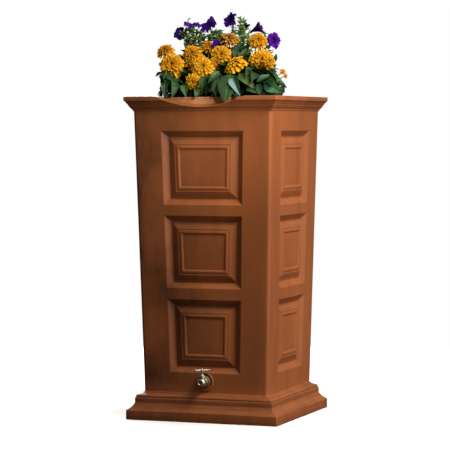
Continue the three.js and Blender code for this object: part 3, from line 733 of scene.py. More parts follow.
def tray():
    def up(x, f, b, z, r):
        return rect(-x, x, f, b, r, z, 6)
    L = [up(LX - 3, LF + 3, LB - 3, 1046, 9), up(LX - 1, LF + 1, LB - 1, 1046.5, 10), up(LX, LF, LB, 1048.5, 11), up(LX, LF, LB, 1149, 11), up(LX + 0.4, LF - 0.4, LB + 0.4, 1150.0, 11),
         up(LX + 1.4, LF - 1.4, LB + 1.4, 1150.4, 11), up(TX - 1.5, TF + 1.5, TB - 1.5, 1150.4, 8), up(TX - 0.4, TF + 0.4, TB - 0.4, 1150.8, 9), up(TX, TF, TB, 1152, 9),
         up(TX, TF, TB, 1180, 9), up(TX, TF, TB, 1208.5, 9), up(TX + 0.8, TF - 0.8, TB + 0.4, 1209.4, 9.4), up(TX + 1.2, TF - 1.2, TB + 0.6, 1210.6, 9.6),
         up(TX + 1.2, TF - 1.2, TB + 0.6, 1214.8, 9.6), up(TX + 0.6, TF - 0.6, TB + 0.2, 1216.1, 9.2), up(TX - 0.6, TF + 0.6, TB - 0.6, 1216.5, 8.6), up(TX - 2.6, TF + 2.6, TB - 2.6, 1216.5, 7),
         up(TX - 3.6, TF + 3.6, TB - 3.6, 1216.0, 6), up(TX - 4, TF + 4, TB - 4, 1214.6, 5.6), up(TX - 4, TF + 4, TB - 4, 1156, 5.6), up(TX - 4.6, TF + 4.6, TB - 4.6, 1154.6, 5), up(LX - 2.8, LF + 2.8, LB - 2.8, 1154.4, 7),
         up(LX - 4, LF + 4, LB - 4, 1153.4, 7), up(LX - 4, LF + 4, LB - 4, 1052, 7), up(LX - 6, LF + 6, LB - 6, 1050.1, 6)]
    ob = rings("planter_tray_fine", L, sharp=30)
    for x in (-150, -50, 50, 150):
        for y in (-150, 40):
            hole = lathe("drain", [(0, 1040), (6, 1040), (6, 1056), (0, 1056)], 24, lambda a, b, h, x=x, y=y: (x + a, y + b, h))
            boolean(ob, hole, "DIFFERENCE")
    sharpen(ob, 30)
    piece(ob, "planter", "planter_tray", slot="tray", mat=M["tray"])


tray()


def soil():
    rng = random.Random(11)
    nx, ny = 96, 72
    x0, x1, y0, y1 = -TX + 4.4, TX - 4.4, TF + 4.4, TB - 4.4
    verts, faces = [], []
    for j in range(ny + 1):
        for i in range(nx + 1):
            x, y = x0 + (x1 - x0) * i / nx, y0 + (y1 - y0) * j / ny
            edge = min(i, nx - i, j, ny - j)
            h = noise.fractal(Vector((x, y, 3)) * 0.022, 0.9, 2.2, 5) * 5 + noise.noise(Vector((x, y, 9)) * 0.16) * 1.8
            verts.append((x, y, 1193 + (h if edge > 1 else min(h, 0.5))))
    for j in range(ny):
        for i in range(nx):
            a = j * (nx + 1) + i
            faces.append((a, a + 1, a + nx + 2, a + nx + 1))
    rim = [i for i in range(nx)] + [j * (nx + 1) + nx for j in range(ny)] + [ny * (nx + 1) + nx - i for i in range(nx)] + [(ny - j) * (nx + 1) for j in range(ny)]
    def ring_down(z, inset):
        start = len(verts)
        for k in rim:
            x, y, _ = verts[k]
            verts.append((min(max(x, x0 + inset), x1 - inset), min(max(y, y0 + inset), y1 - inset), z))
        return list(range(start, start + len(rim)))
    prev = rim
    for z, inset in ((1155, 0), (1154.8, 17.8), (1050.6, 18.6)):
        cur = ring_down(z, inset)
        for k in range(len(rim)):
            m = (k + 1) % len(rim)
            faces.append((prev[m], prev[k], cur[k], cur[m]))
        prev = cur
    faces.append(tuple(reversed(prev)))
    base = put("soil_bed", verts, faces, sharp=0)
    outwards(base)
    # bark chips and clods lying on the bed
    cv, cf = [], []
    for _ in range(330):
        x, y = rng.uniform(x0 + 12, x1 - 12), rng.uniform(y0 + 12, y1 - 12)
        a, b, c = rng.uniform(4, 11), rng.uniform(2.5, 6), rng.uniform(1.4, 3.2)
        spin, lean = rng.uniform(0, math.pi), rng.uniform(-0.4, 0.4)
        rot = Matrix.Rotation(spin, 3, "Z") @ Matrix.Rotation(lean, 3, "Y")
        start = len(cv)
        for (px, py, pz) in ((-1, -1, -1), (1, -1, -1), (1, 1, -1), (-1, 1, -1), (-1, -1, 1), (1, -1, 1), (1, 1, 1), (-1, 1, 1)):
            p = rot @ Vector((px * a * rng.uniform(0.5, 1), py * b * rng.uniform(0.5, 1), pz * c * rng.uniform(0.6, 1)))
            cv.append((x + p.x, y + p.y, 1196.5 + p.z))
        for q in ((0, 3, 2, 1), (4, 5, 6, 7), (0, 1, 5, 4), (1, 2, 6, 5), (2, 3, 7, 6), (3, 0, 4, 7)):
            cf.append(tuple(start + i for i in q))
    chips = put("chips", cv, cf, sharp=20)
    ob = join("potting_soil_fine", [base, chips])
    sharpen(ob, 60)
    piece(ob, "planter", "potting_soil", slot="soil", mat=M["soil"])


soil()

# ------------------------------------------------------------------ debris screen
def screen():
    X, Y0, Y1 = 251.5, 136.5, 251.5
    wx, wy0, wy1 = 230.0, 157.0, 231.0
    def frame_ring(name, z0, z1, e):
        def o(d, z):
            return rect(-X + d, X - d, Y0 + d, Y1 - d, 7.0 - d * 0.5, z, 6)
        def w(d, z):
            return rect(-wx - d, wx + d, wy0 - d, wy1 + d, 5.0 + d * 0.5, z, 6)
        loops = [o(e, z0), o(e * 0.3, z0 + e * 0.3), o(0, z0 + e), o(0, z1 - e), o(e * 0.3, z1 - e * 0.3), o(e, z1),
                 w(e, z1), w(e * 0.3, z1 - e * 0.3), w(0, z1 - e), w(0, z0 + e), w(e * 0.3, z0 + e * 0.3), w(e, z0)]
        return rings(name, loops, cap=False)
    ob = frame_ring("frame", 1155, 1161, 1.1)
    pull = rings("pull", [[(x, 146 + (y + 1.5), z) for x, y, z in rect(-22, 22, -1.5, 1.5, 1.2, z)] for z in (1158, 1173)] +
                 [[(x, 147.5 + y, z) for x, y, z in rect(-21, 21, -1.2, 1.2, 1.0, 1175)], [(x, 147.5 + y, z) for x, y, z in rect(-19, 19, -0.8, 0.8, 0.7, 1176)]])
    ob = join("screen_frame_fine", [ob, pull])
    sharpen(ob, 32)
    for x, y in ((-245.5, 142), (245.5, 142), (-243, 243.5), (243, 243.5)):
        boolean(ob, lathe("h", [(0, 1150), (2.1, 1150), (2.1, 1165), (0, 1165)], 20, lambda a, b, h, x=x, y=y: (x + a, y + b, h)), "DIFFERENCE")
    sharpen(ob, 32)
    piece(ob, "screen", "screen_frame", slot="screen_plastic", mat=M["screen_plastic"])
    ob = frame_ring("screen_retainer_fine", 1150.3, 1153.3, 0.7)
    for x, y in ((-245.5, 142), (245.5, 142), (-243, 243.5), (243, 243.5)):
        boolean(ob, lathe("h", [(0, 1145), (2.1, 1145), (2.1, 1160), (0, 1160)], 20, lambda a, b, h, x=x, y=y: (x + a, y + b, h)), "DIFFERENCE")
    sharpen(ob, 32)
    piece(ob, "screen", "screen_retainer", slot="screen_plastic", mat=M["screen_plastic"])
    # woven wire
    pitch, r = 5.2, 0.42
    nx, ny = int(472 / pitch), int(84 / pitch)
    xs = [-236 + 472 * i / nx for i in range(nx + 1)]
    ys = [152 + 84 * j / ny for j in range(ny + 1)]
    verts, faces = [], []
    def wire(points):
        start = len(verts)
        for i, p in enumerate(points):
            a, b = points[max(i - 1, 0)], points[min(i + 1, len(points) - 1)]
            d = (Vector(b) - Vector(a)).normalized()
            s = Vector((0, 0, 1)).cross(d).normalized()
            t = d.cross(s)
            for k in range(4):
                ang = math.pi / 4 + k * math.pi / 2
                q = Vector(p) + s * (r * math.cos(ang)) + t * (r * math.sin(ang))
                verts.append(tuple(q))
            if i:
                for k in range(4):
                    m = (k + 1) % 4
                    faces.append((start + (i - 1) * 4 + k, start + (i - 1) * 4 + m, start + i * 4 + m, start + i * 4 + k))
        n = len(points)
        faces.append((start, start + 3, start + 2, start + 1))
        faces.append(tuple(start + (n - 1) * 4 + k for k in range(4)))
    for j, y in enumerate(ys):
        wire([(x, y, 1154.2 + (0.34 if (i + j) % 2 else -0.34)) for i, x in enumerate(xs)])
    for i, x in enumerate(xs):
        wire([(x, y, 1154.2 - (0.34 if (i + j) % 2 else -0.34)) for j, y in enumerate(ys)])
    ob = put("screen_mesh_fine", verts, faces, sharp=50)
    piece(ob, "screen", "screen_mesh", slot="screen_wire", mat=M["screen_wire"])


screen()

for name, slot in (("ball_seat_front", "ptfe"), ("ball_seat_rear", "ptfe"), ("stem_packing", "ptfe"), ("seat_retainer", "brass"),
                   ("spigot_ball", "nickel"), ("screen_screw_1", "steel"), ("screen_screw_2", "steel"), ("screen_screw_3", "steel"), ("screen_screw_4", "steel")):
    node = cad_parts[name]
    if node.material_slots:
        for s in node.material_slots:
            s.material = M[slot]
    else:
        node.data.materials.append(M[slot])

# ------------------------------------------------------------------ planting
PLANTS = [("marigold_plant_left", -290, -97, -262, -62), ("marigold_plant_centre", -97, 93, -262, -62), ("marigold_plant_right", 93, 290, -262, -62),
          ("petunia_plant_left", -290, -90, -62, 130), ("petunia_plant_centre", -90, 97, -62, 130), ("petunia_plant_right", 97, 290, -62, 130)]


def plant_at(x, y):
    for name, x0, x1, y0, y1 in PLANTS:
        if (x0 <= x < x1 or (x < -290 and x0 == -290) or (x >= 290 and x1 == 290)) and ((y < -62) == (y1 == -62)):
            return name
    return PLANTS[1][0]


class Cloud:
    """Many small closed blades and tubes gathered into one mesh."""

    def __init__(self):
        self.v, self.f, self.c, self.b = [], [], [], []

    def add(self, p, c, u, w):
        # leaves rest on the rim and the tray lip, and none reaches the screen well behind
        x, y, z = p
        y = min(y, 128.5)
        lip = 1221.0 if (abs(x) > 231 or y < -231 or y > 121) else 1197.5
        if y < -236 and 1181 + 0.00126 * x * x < 1216:
            lip = max(1184 + 0.00126 * x * x + 3, 1190)
            if y > -252:
                lip = 1219
        self.v.append((min(max(x, -303), 303), max(y, -303), max(z, lip)))
        self.c.append(c)
        self.b.append((u, w, 0.0))
        return len(self.v) - 1

    def blade(self, grid, thick, tint, under=None):
        n, m = len(grid), len(grid[0])
        top, low = {}, {}
        for i in range(n):
            for j in range(m):
                p, u, w = grid[i][j], j / (m - 1), i / (n - 1)
                c = tint(u, w)
                if i in (0, n - 1) or j in (0, m - 1):
                    top[i, j] = low[i, j] = self.add(p, c, u, w)
                else:
                    nn = (grid[i][j + 1] - grid[i][j - 1]).cross(grid[i + 1][j] - grid[i - 1][j])
                    nn = nn.normalized() * (thick / 2)
                    top[i, j] = self.add(p + nn, c, u, w)
                    low[i, j] = self.add(p - nn, under(u, w) if under else c, u, w)
        for i in range(n - 1):
            for j in range(m - 1):
                self.f.append((top[i, j], top[i, j + 1], top[i + 1, j + 1], top[i + 1, j]))
                self.f.append((low[i + 1, j], low[i + 1, j + 1], low[i, j + 1], low[i, j]))

    def funnel(self, grid, thick, tint, under):
        """A ring-shaped surface: rows run from the throat to the edge, columns wrap round."""
        n, m = len(grid), len(grid[0])
        a, b = [], []
        for i in range(n):
            ra, rb = [], []
            for j in range(m):
                p = grid[i][j]
                nn = (grid[i][(j + 1) % m] - grid[i][j - 1]).cross(grid[min(i + 1, n - 1)][j] - grid[max(i - 1, 0)][j])
                nn = nn.normalized() * (thick / 2)
                ra.append(self.add(p - nn, tint(j / m, i / (n - 1)), j / m, i / (n - 1)))
                rb.append(self.add(p + nn, under(j / m, i / (n - 1)), j / m, i / (n - 1)))
            a.append(ra)
            b.append(rb)
        for i in range(n - 1):
            for j in range(m):
                k = (j + 1) % m
                self.f.append((a[i][k], a[i][j], a[i + 1][j], a[i + 1][k]))
                self.f.append((b[i][j], b[i][k], b[i + 1][k], b[i + 1][j]))
        for j in range(m):
            k = (j + 1) % m
            self.f.append((a[0][j], a[0][k], b[0][k], b[0][j]))
            self.f.append((a[-1][k], a[-1][j], b[-1][j], b[-1][k]))

    def tube(self, pts, r0, r1, tint, sides=6):
        rows = []
        ref = Vector((0.3, 0.2, 0.93)).normalized()
        for i, p in enumerate(pts):
            d = (pts[min(i + 1, len(pts) - 1)] - pts[max(i - 1, 0)]).normalized()
            s = d.cross(ref)
            s = s.normalized() if s.length > 1e-3 else d.orthogonal().normalized()
            t = d.cross(s)
            r = r0 + (r1 - r0) * i / (len(pts) - 1)
            rows.append([self.add(p + s * (r * math.cos(2 * math.pi * k / sides)) + t * (r * math.sin(2 * math.pi * k / sides)), tint, k / sides, i / len(pts))
                         for k in range(sides)])
        for a, b in zip(rows, rows[1:]):
            for k in range(sides):
                m = (k + 1) % sides
                self.f.append((a[k], b[k], b[m], a[m]))
        self.f.append(tuple(rows[0]))
        self.f.append(tuple(reversed(rows[-1])))


LEAVES = {p[0]: Cloud() for p in PLANTS}
STEMS = {p[0]: Cloud() for p in PLANTS}
BLOOMS = {p[0]: Cloud() for p in PLANTS}


def project(p):
    d = Vector(p) - EYE
    z = d.dot(FWD)
    return 225 + F_PX * d.dot(RIGHT) / z, 225 - F_PX * d.dot(UP) / z


MASK = [(157, 98), (160, 92), (161, 84), (160, 77), (161, 71), (166, 62), (173, 54), (180, 55), (183.5, 48), (184.5, 42), (186, 37), (189, 34), (195, 35), (201, 36), (204, 41), (207, 42),
        (210, 37), (215, 35), (221, 36), (232, 40), (237, 38), (239, 33), (243, 32), (247, 38), (249, 44), (252, 48), (262, 50), (272, 51), (276, 55), (277.5, 62), (278, 68), (281, 72), (284, 79),
        (286.5, 87), (285, 93), (281, 97), (260, 104), (200, 104)]


def allowed(p, grow=0.0):
    u, v = project(p)
    inside = False
    j = len(MASK) - 1
    for i in range(len(MASK)):
        (ui, vi), (uj, vj) = MASK[i], MASK[j]
        if (vi > v) != (vj > v) and u < (uj - ui) * (v - vi) / (vj - vi) + ui:
            inside = not inside
        j = i
    return inside


HEADS = []


def hidden(p):
    """Whether a leaf at p would stand in front of a flower that the view shows whole."""
    u, v = project(p)
    far = (Vector(p) - EYE).dot(FWD)
    return any(math.hypot(u - hu, v - hv) < hr and far < hf + 12 for hu, hv, hr, hf in HEADS)


def shade(c, k):
    return tuple(x * k for x in c)


def lerp(a, b, t):
    return tuple(x + (y - x) * t for x, y in zip(a, b))


def leaf(cloud, base, tip, width, side, arch=0.12, fold=0.35, wave=0.06, tint=(0.03, 0.08, 0.02), right=None, n=9, m=7, curl=0.0, seed=0.0):
    """A pointed oval leaf; side is its across direction, arch bends it, fold lifts both halves, curl rolls the tip."""
    base, tip, side = Vector(base), Vector(tip), Vector(side)
    axis = tip - base
    L = axis.length
    d = axis / L
    s = (side - d * side.dot(d))
    s = s.normalized() if s.length > 1e-3 else d.orthogonal().normalized()
    up = s.cross(d)
    if up.z < -0.2:
        up, s = -up, -s
    grid = []
    for i in range(n):
        t = i / (n - 1)
        w = max(width / 2 * max(math.sin(math.pi * t ** 0.72), 0) ** 0.85, 0.03 * width)
        mid = base + axis * t + up * (arch * L * math.sin(math.pi * t)) - up * (curl * L * t ** 3)
        row = []
        for j in range(m):
            q = 2 * j / (m - 1) - 1
            h = fold * w * abs(q) ** 1.2 + wave * width * math.sin(11 * t + 2.4 * q + seed) * abs(q) ** 1.5
            row.append(mid + s * (w * q) + up * h)
        grid.append(row)
    other = right or tint

    def colour(u, w):
        c = lerp(tint, other, min(max((u - 0.42) / 0.16, 0), 1))
        return shade(c, 0.86 + 0.2 * math.sin(3.1 * w + seed) * (0.5 - abs(u - 0.5)))
    cloud.blade(grid, 0.9, colour, lambda u, w: shade(lerp(tint, (0.16, 0.22, 0.12), 0.3), 0.9))


def sight_leaf(a, b, width_px, tint, right=None, roll=0.0, **kw):
    """A leaf laid between two points of the view, each (u, v, y); the width is in pixels and roll turns it about its own axis."""
    base, tip = sight(*a), sight(*b)
    d = (tip - base).normalized()
    side = d.cross(-FWD).normalized()
    side = Matrix.Rotation(roll, 3, d) @ side
    name = plant_at((base.x + tip.x) / 2, (base.y + tip.y) / 2)
    leaf(LEAVES[name], base, tip, width_px * 3.85, side, tint=tint, right=right, **kw)


def facing(dx, dy, dz):
    """A direction from its right, up and towards-the-camera parts."""
    return (RIGHT * dx + UP * dy - FWD * dz).normalized()


def basis(n):
    e = n.cross(Vector((0, 0, 1)))
    e = e.normalized() if e.length > 1e-2 else n.orthogonal().normalized()
    return e, n.cross(e)


def petal(cloud, c, n, e, start, length, width, rise, bend, cup, tint, notch=0.12, m=5):
    s = n.cross(e)
    ts = (0, 0.28, 0.52, 0.74, 0.9, 1.0)
    half = (0.34, 0.66, 0.95, 1.06, 0.95, 0.5)
    grid, p, last = [], c + e * start, 0.0
    for t, h in zip(ts, half):
        a = rise - bend * t
        d = e * math.cos(a) + n * math.sin(a)
        up = n * math.cos(a) - e * math.sin(a)
        p = p + d * (length * (t - last))
        last = t
        w = width / 2 * h
        row = []
        for j in range(m):
            q = 2 * j / (m - 1) - 1
            back = notch * width * (1 - abs(q)) if t == 1.0 else 0
            row.append(p + s * (w * q) + up * (cup * w * q * q) - d * back)
        grid.append(row)
    cloud.blade(grid, 0.9, tint)


# DEEP, the dark orange of the petal bases, is partly the flower's own colour and partly painted shade between the
# petals
GOLD, AMBER, DEEP, BROWN, LEMON = srgb("e8a60a"), srgb("da860c"), srgb("7c3904"), srgb("371906"), srgb("f8ca1c")
STALK = srgb("6f8f4a")


def zinnia(c, n, R, rng, warm=0.4, centre=0.2, flat=0.0, stem_to=None, dome=1.0, outer=15, bright=1.0):
    """A double daisy head: c its centre, n the way it faces, warm from yellow to orange, centre the size of the brown eye."""
    name = plant_at(c.x, c.y)
    cloud = BLOOMS[name]
    e0, f0 = basis(n)
    body = lerp(GOLD, AMBER, warm)
    tipc = lerp(LEMON, GOLD, 0.25 + warm * 0.7)
    layers = [(outer, 1.0, 0.27, -4, 26), (outer - 1, 0.88, 0.26, 10, 30), (outer - 3, 0.73, 0.25, 25, 36), (outer - 5, 0.58, 0.22, 40, 42),
              (outer - 7, 0.43, 0.19, 54, 48)]
    if centre < 0.3:
        layers.append((6, 0.28, 0.15, 68, 45))
    for k, (count, reach, wide, rise, bend) in enumerate(layers):
        turn = rng.uniform(0, 6.28)
        for i in range(count):
            a = turn + 2 * math.pi * (i + rng.uniform(-0.22, 0.22)) / count
            e = e0 * math.cos(a) + f0 * math.sin(a)
            k1 = rng.uniform(0.84, 1.12) * bright
            hue = rng.uniform(-0.2, 0.2)
            b, t_ = lerp(body, DEEP, 0.35 + hue), lerp(tipc, body, 0.2 + hue)

            # each petal runs from DEEP at the base to the lemon tip, partly painted shade between the petals; inner
            # rows are painted a little darker as shade
            def colour(u, w, b=b, t_=t_, k1=k1, k=k):
                x = lerp(DEEP, b, w / 0.5) if w < 0.5 else lerp(b, t_, (w - 0.5) / 0.5)
                rim = 1 + 0.18 * (abs(u - 0.5) * 2) ** 2
                return shade(x, k1 * rim * (1 - 0.055 * k))
            petal(cloud, c + n * (0.035 * R * k), n, e, 0.06 * R, R * reach * rng.uniform(0.9, 1.06) - 0.06 * R, R * wide * rng.uniform(0.88, 1.12),
                  math.radians(rise * dome + rng.uniform(-9, 9) - flat), math.radians(bend + rng.uniform(-8, 12)), rng.uniform(0.35, 0.75), colour)
    eye = lerp(BROWN, DEEP, 0.3)
    for i in range(16):
        a, r = i * 2.4, centre * R * math.sqrt((i + 0.5) / 16)
        e = e0 * math.cos(a) + f0 * math.sin(a)
        petal(cloud, c + n * (0.10 * R) + e * r, n, e, 0.2, R * 0.16, R * 0.08, math.radians(74), math.radians(20), 0.4,
              lambda u, w: lerp(eye, lerp(AMBER, eye, 0.4), w), m=3)
    green = STEMS[name]
    for k in range(2):
        for i in range(9):
            a = 2 * math.pi * (i + 0.5 * k) / 9
            e = e0 * math.cos(a) + f0 * math.sin(a)
            petal(green, c - n * (0.13 * R - 0.03 * R * k), n, e, 0.04 * R, R * (0.30 + 0.06 * k), R * 0.17, math.radians(18 + 10 * k), math.radians(-24), 0.3,
                  lambda u, w: lerp(srgb("2c4a20"), srgb("4c6c30"), w), m=3)
    return name


def bezier(a, b, c, d, n=9):
    out = []
    for i in range(n):
        t = i / (n - 1)
        out.append(a * (1 - t) ** 3 + b * (3 * t * (1 - t) ** 2) + c * (3 * t * t * (1 - t)) + d * t ** 3)
    return out


def crown(name, rng):
    for p, x0, x1, y0, y1 in PLANTS:
        if p == name:
            return Vector((min(max((x0 + x1) / 2, -150), 150) + rng.uniform(-22, 22), min(max((y0 + y1) / 2, -150), 40) + rng.uniform(-20, 20), 1196))


def stalk(c, n, rng, name, r=1.9, lead=26, tint=None):
    root = crown(name, rng)
    b = root + (c - root) * 0.35 + Vector((0, 0, (c.z - root.z) * 0.25))
    pts = bezier(root, b, c - n * lead, c - n * 2, 11)
    STEMS[name].tube(pts, r * 1.25, r, tint or srgb("4c6e34"))
    return pts


VIOLET, NIGHT, MAUVE, PALE = srgb("430a8e"), srgb("16043a"), srgb("553084"), srgb("9a8fa4")


def petunia(c, n, R, rng, tint=VIOLET, tube=34.0, ruffle=0.10, roll=0.0, notch=0.24, stem=True, back=MAUVE, lobes=(1, 1, 1, 1, 1), cone=0.0, waist=1.0,
            pale=None):
    """A ruffled five-lobed trumpet facing n; lobes scales each lobe, cone draws the mouth out into a funnel."""
    name = plant_at(c.x, min(c.y, 128)).replace("marigold", "petunia")
    cloud = BLOOMS[name]
    e0, f0 = basis(n)
    prof = [(2.0 * waist, -tube), (2.5 * waist, -0.8 * tube), (3.4 * waist, -0.58 * tube), (5.2 * waist, -0.34 * tube), (7.6 * waist, -0.17 * tube),
            (max(0.33 * R, 8.4 * waist), -0.075 * R), (0.48 * R, -0.03 * R), (0.61 * R, 0.0), (0.74 * R, 0.015 * R), (0.86 * R, 0.005 * R), (0.95 * R, -0.02 * R),
            (1.0 * R, -0.05 * R)]
    prof = [(r, h * (1 - cone) + cone * (-tube + (tube + 0.1 * R) * (r / R) ** 0.8)) for r, h in prof]
    m, ph, ph2 = 90, rng.uniform(0, 6.28), rng.uniform(0, 6.28)
    grid = []
    for k, (r, h) in enumerate(prof):
        s = max((k - 4) / 7, 0)
        row = []
        for j in range(m):
            a = 2 * math.pi * j / m
            lobe = abs(math.cos(2.5 * a))
            size = lobes[int((a / (2 * math.pi) * 5) + 0.5) % 5]
            rr = r * (1 - s ** 1.5 * notch * (1 - lobe ** 0.55) + 0.07 * s * lobe ** 12 + s * s * (0.035 * math.sin(17 * a + ph) + 0.03 * math.sin(9 * a + ph2)))
            rr *= 1 + (size - 1) * s * s * lobe
            hh = h + ruffle * R * s * s * (0.75 * math.sin(5 * a + ph) + 0.5 * math.sin(12 * a + ph2) + 0.28 * math.sin(23 * a))
            hh -= 0.07 * R * s * (1 - lobe)
            b = a + roll
            row.append(c + e0 * (rr * math.cos(b)) + f0 * (rr * math.sin(b)) + n * hh)
        grid.append(row)

    def face(u, w):
        s = max((w * 11 - 4) / 7, 0)
        vein = max(math.cos(5 * 2 * math.pi * u), 0) ** 6 * 0.55 + max(math.cos(15 * 2 * math.pi * u), 0) ** 8 * 0.2
        x = lerp(NIGHT, tint, min(s * 1.8, 1))
        return shade(lerp(x, NIGHT, vein * (0.7 - 0.6 * s)), 1.0 + 0.34 * s * math.sin(31 * u + ph))

    def behind(u, w):
        s = max((w * 11 - 4) / 7, 0)
        return lerp((pale or PALE) if w < 0.45 else back, lerp(back, tint, 0.8), min(s * 1.4, 1))
    cloud.funnel(grid, 0.8, face, behind)
    # stamens in the throat and a green calyx
    for i in range(5):
        a = i * 1.257
        q = e0 * (2.2 * math.cos(a)) + f0 * (2.2 * math.sin(a))
        cloud.tube([c - n * (0.42 * tube) + q * 0.5, c - n * (0.24 * tube) + q * 0.8], 0.5, 0.8, srgb("6d6658"), 5)
    green = STEMS[name]
    foot = c - n * tube
    for i in range(5):
        a = i * 1.257 + 0.3
        e = e0 * math.cos(a) + f0 * math.sin(a)
        petal(green, foot - n * 2, n, e, 1.6, 17, 4.2, math.radians(62), math.radians(25), 0.3, lambda u, w: lerp(srgb("486a30"), srgb("7a9a52"), w), m=3)
    if stem:
        stalk(foot, n, rng, name, 1.1, 30, srgb("5d7d40"))
    return name


def sprig(root, tops, rng, size=24.0, tint=srgb("5f8636"), dense=9, width=0.56):
    """A soft petunia shoot: a stem from root to the top with small leaves all along its upper part and a tuft of buds."""
    name = plant_at(tops.x, tops.y)
    b = root + Vector((0, 0, (tops.z - root.z) * 0.55))
    pts = bezier(root, b, tops - Vector((0, 0, 20)), tops, 12)
    STEMS[name].tube(pts, 1.7, 0.9, srgb("8fb060"))
    cloud = LEAVES[name]
    for i in range(dense):
        t = 1 - 0.66 * (i / dense) ** 1.15
        k = t * 11
        p = pts[min(int(k), 10)].lerp(pts[min(int(k) + 1, 11)], k - int(k))
        for sidea in (0, math.pi):
            a = i * 1.9 + sidea + rng.uniform(-0.4, 0.4)
            lift = rng.uniform(0.1, 0.9) if i > 1 else rng.uniform(0.9, 1.8)
            d = Vector((math.cos(a), math.sin(a), lift)).normalized()
            L = size * rng.uniform(0.7, 1.15) * (0.62 if i < 2 else 1.0)
            c = shade(lerp(tint, srgb("cdec9c"), rng.uniform(0, 0.55) if i < 3 else rng.uniform(0, 0.25)), rng.uniform(0.75, 1.1))
            leaf(cloud, p, p + d * L, L * width * rng.uniform(0.85, 1.2), Vector((-math.sin(a), math.cos(a), 0)), arch=rng.uniform(-0.02, 0.16), fold=0.4,
                 wave=0.08, tint=c, n=7, m=5, curl=rng.uniform(-0.05, 0.25), seed=rng.uniform(0, 6))
    for i in range(4):
        a = rng.uniform(0, 6.28)
        d = Vector((math.cos(a) * 0.55, math.sin(a) * 0.55, 1)).normalized()
        L = size * rng.uniform(0.4, 0.6)
        leaf(cloud, tops, tops + d * L, L * 0.3, Vector((-math.sin(a), math.cos(a), 0)), arch=0.05, fold=0.5, tint=shade(srgb("86ab50"), rng.uniform(0.8, 1.1)),
             n=5, m=5, seed=i)


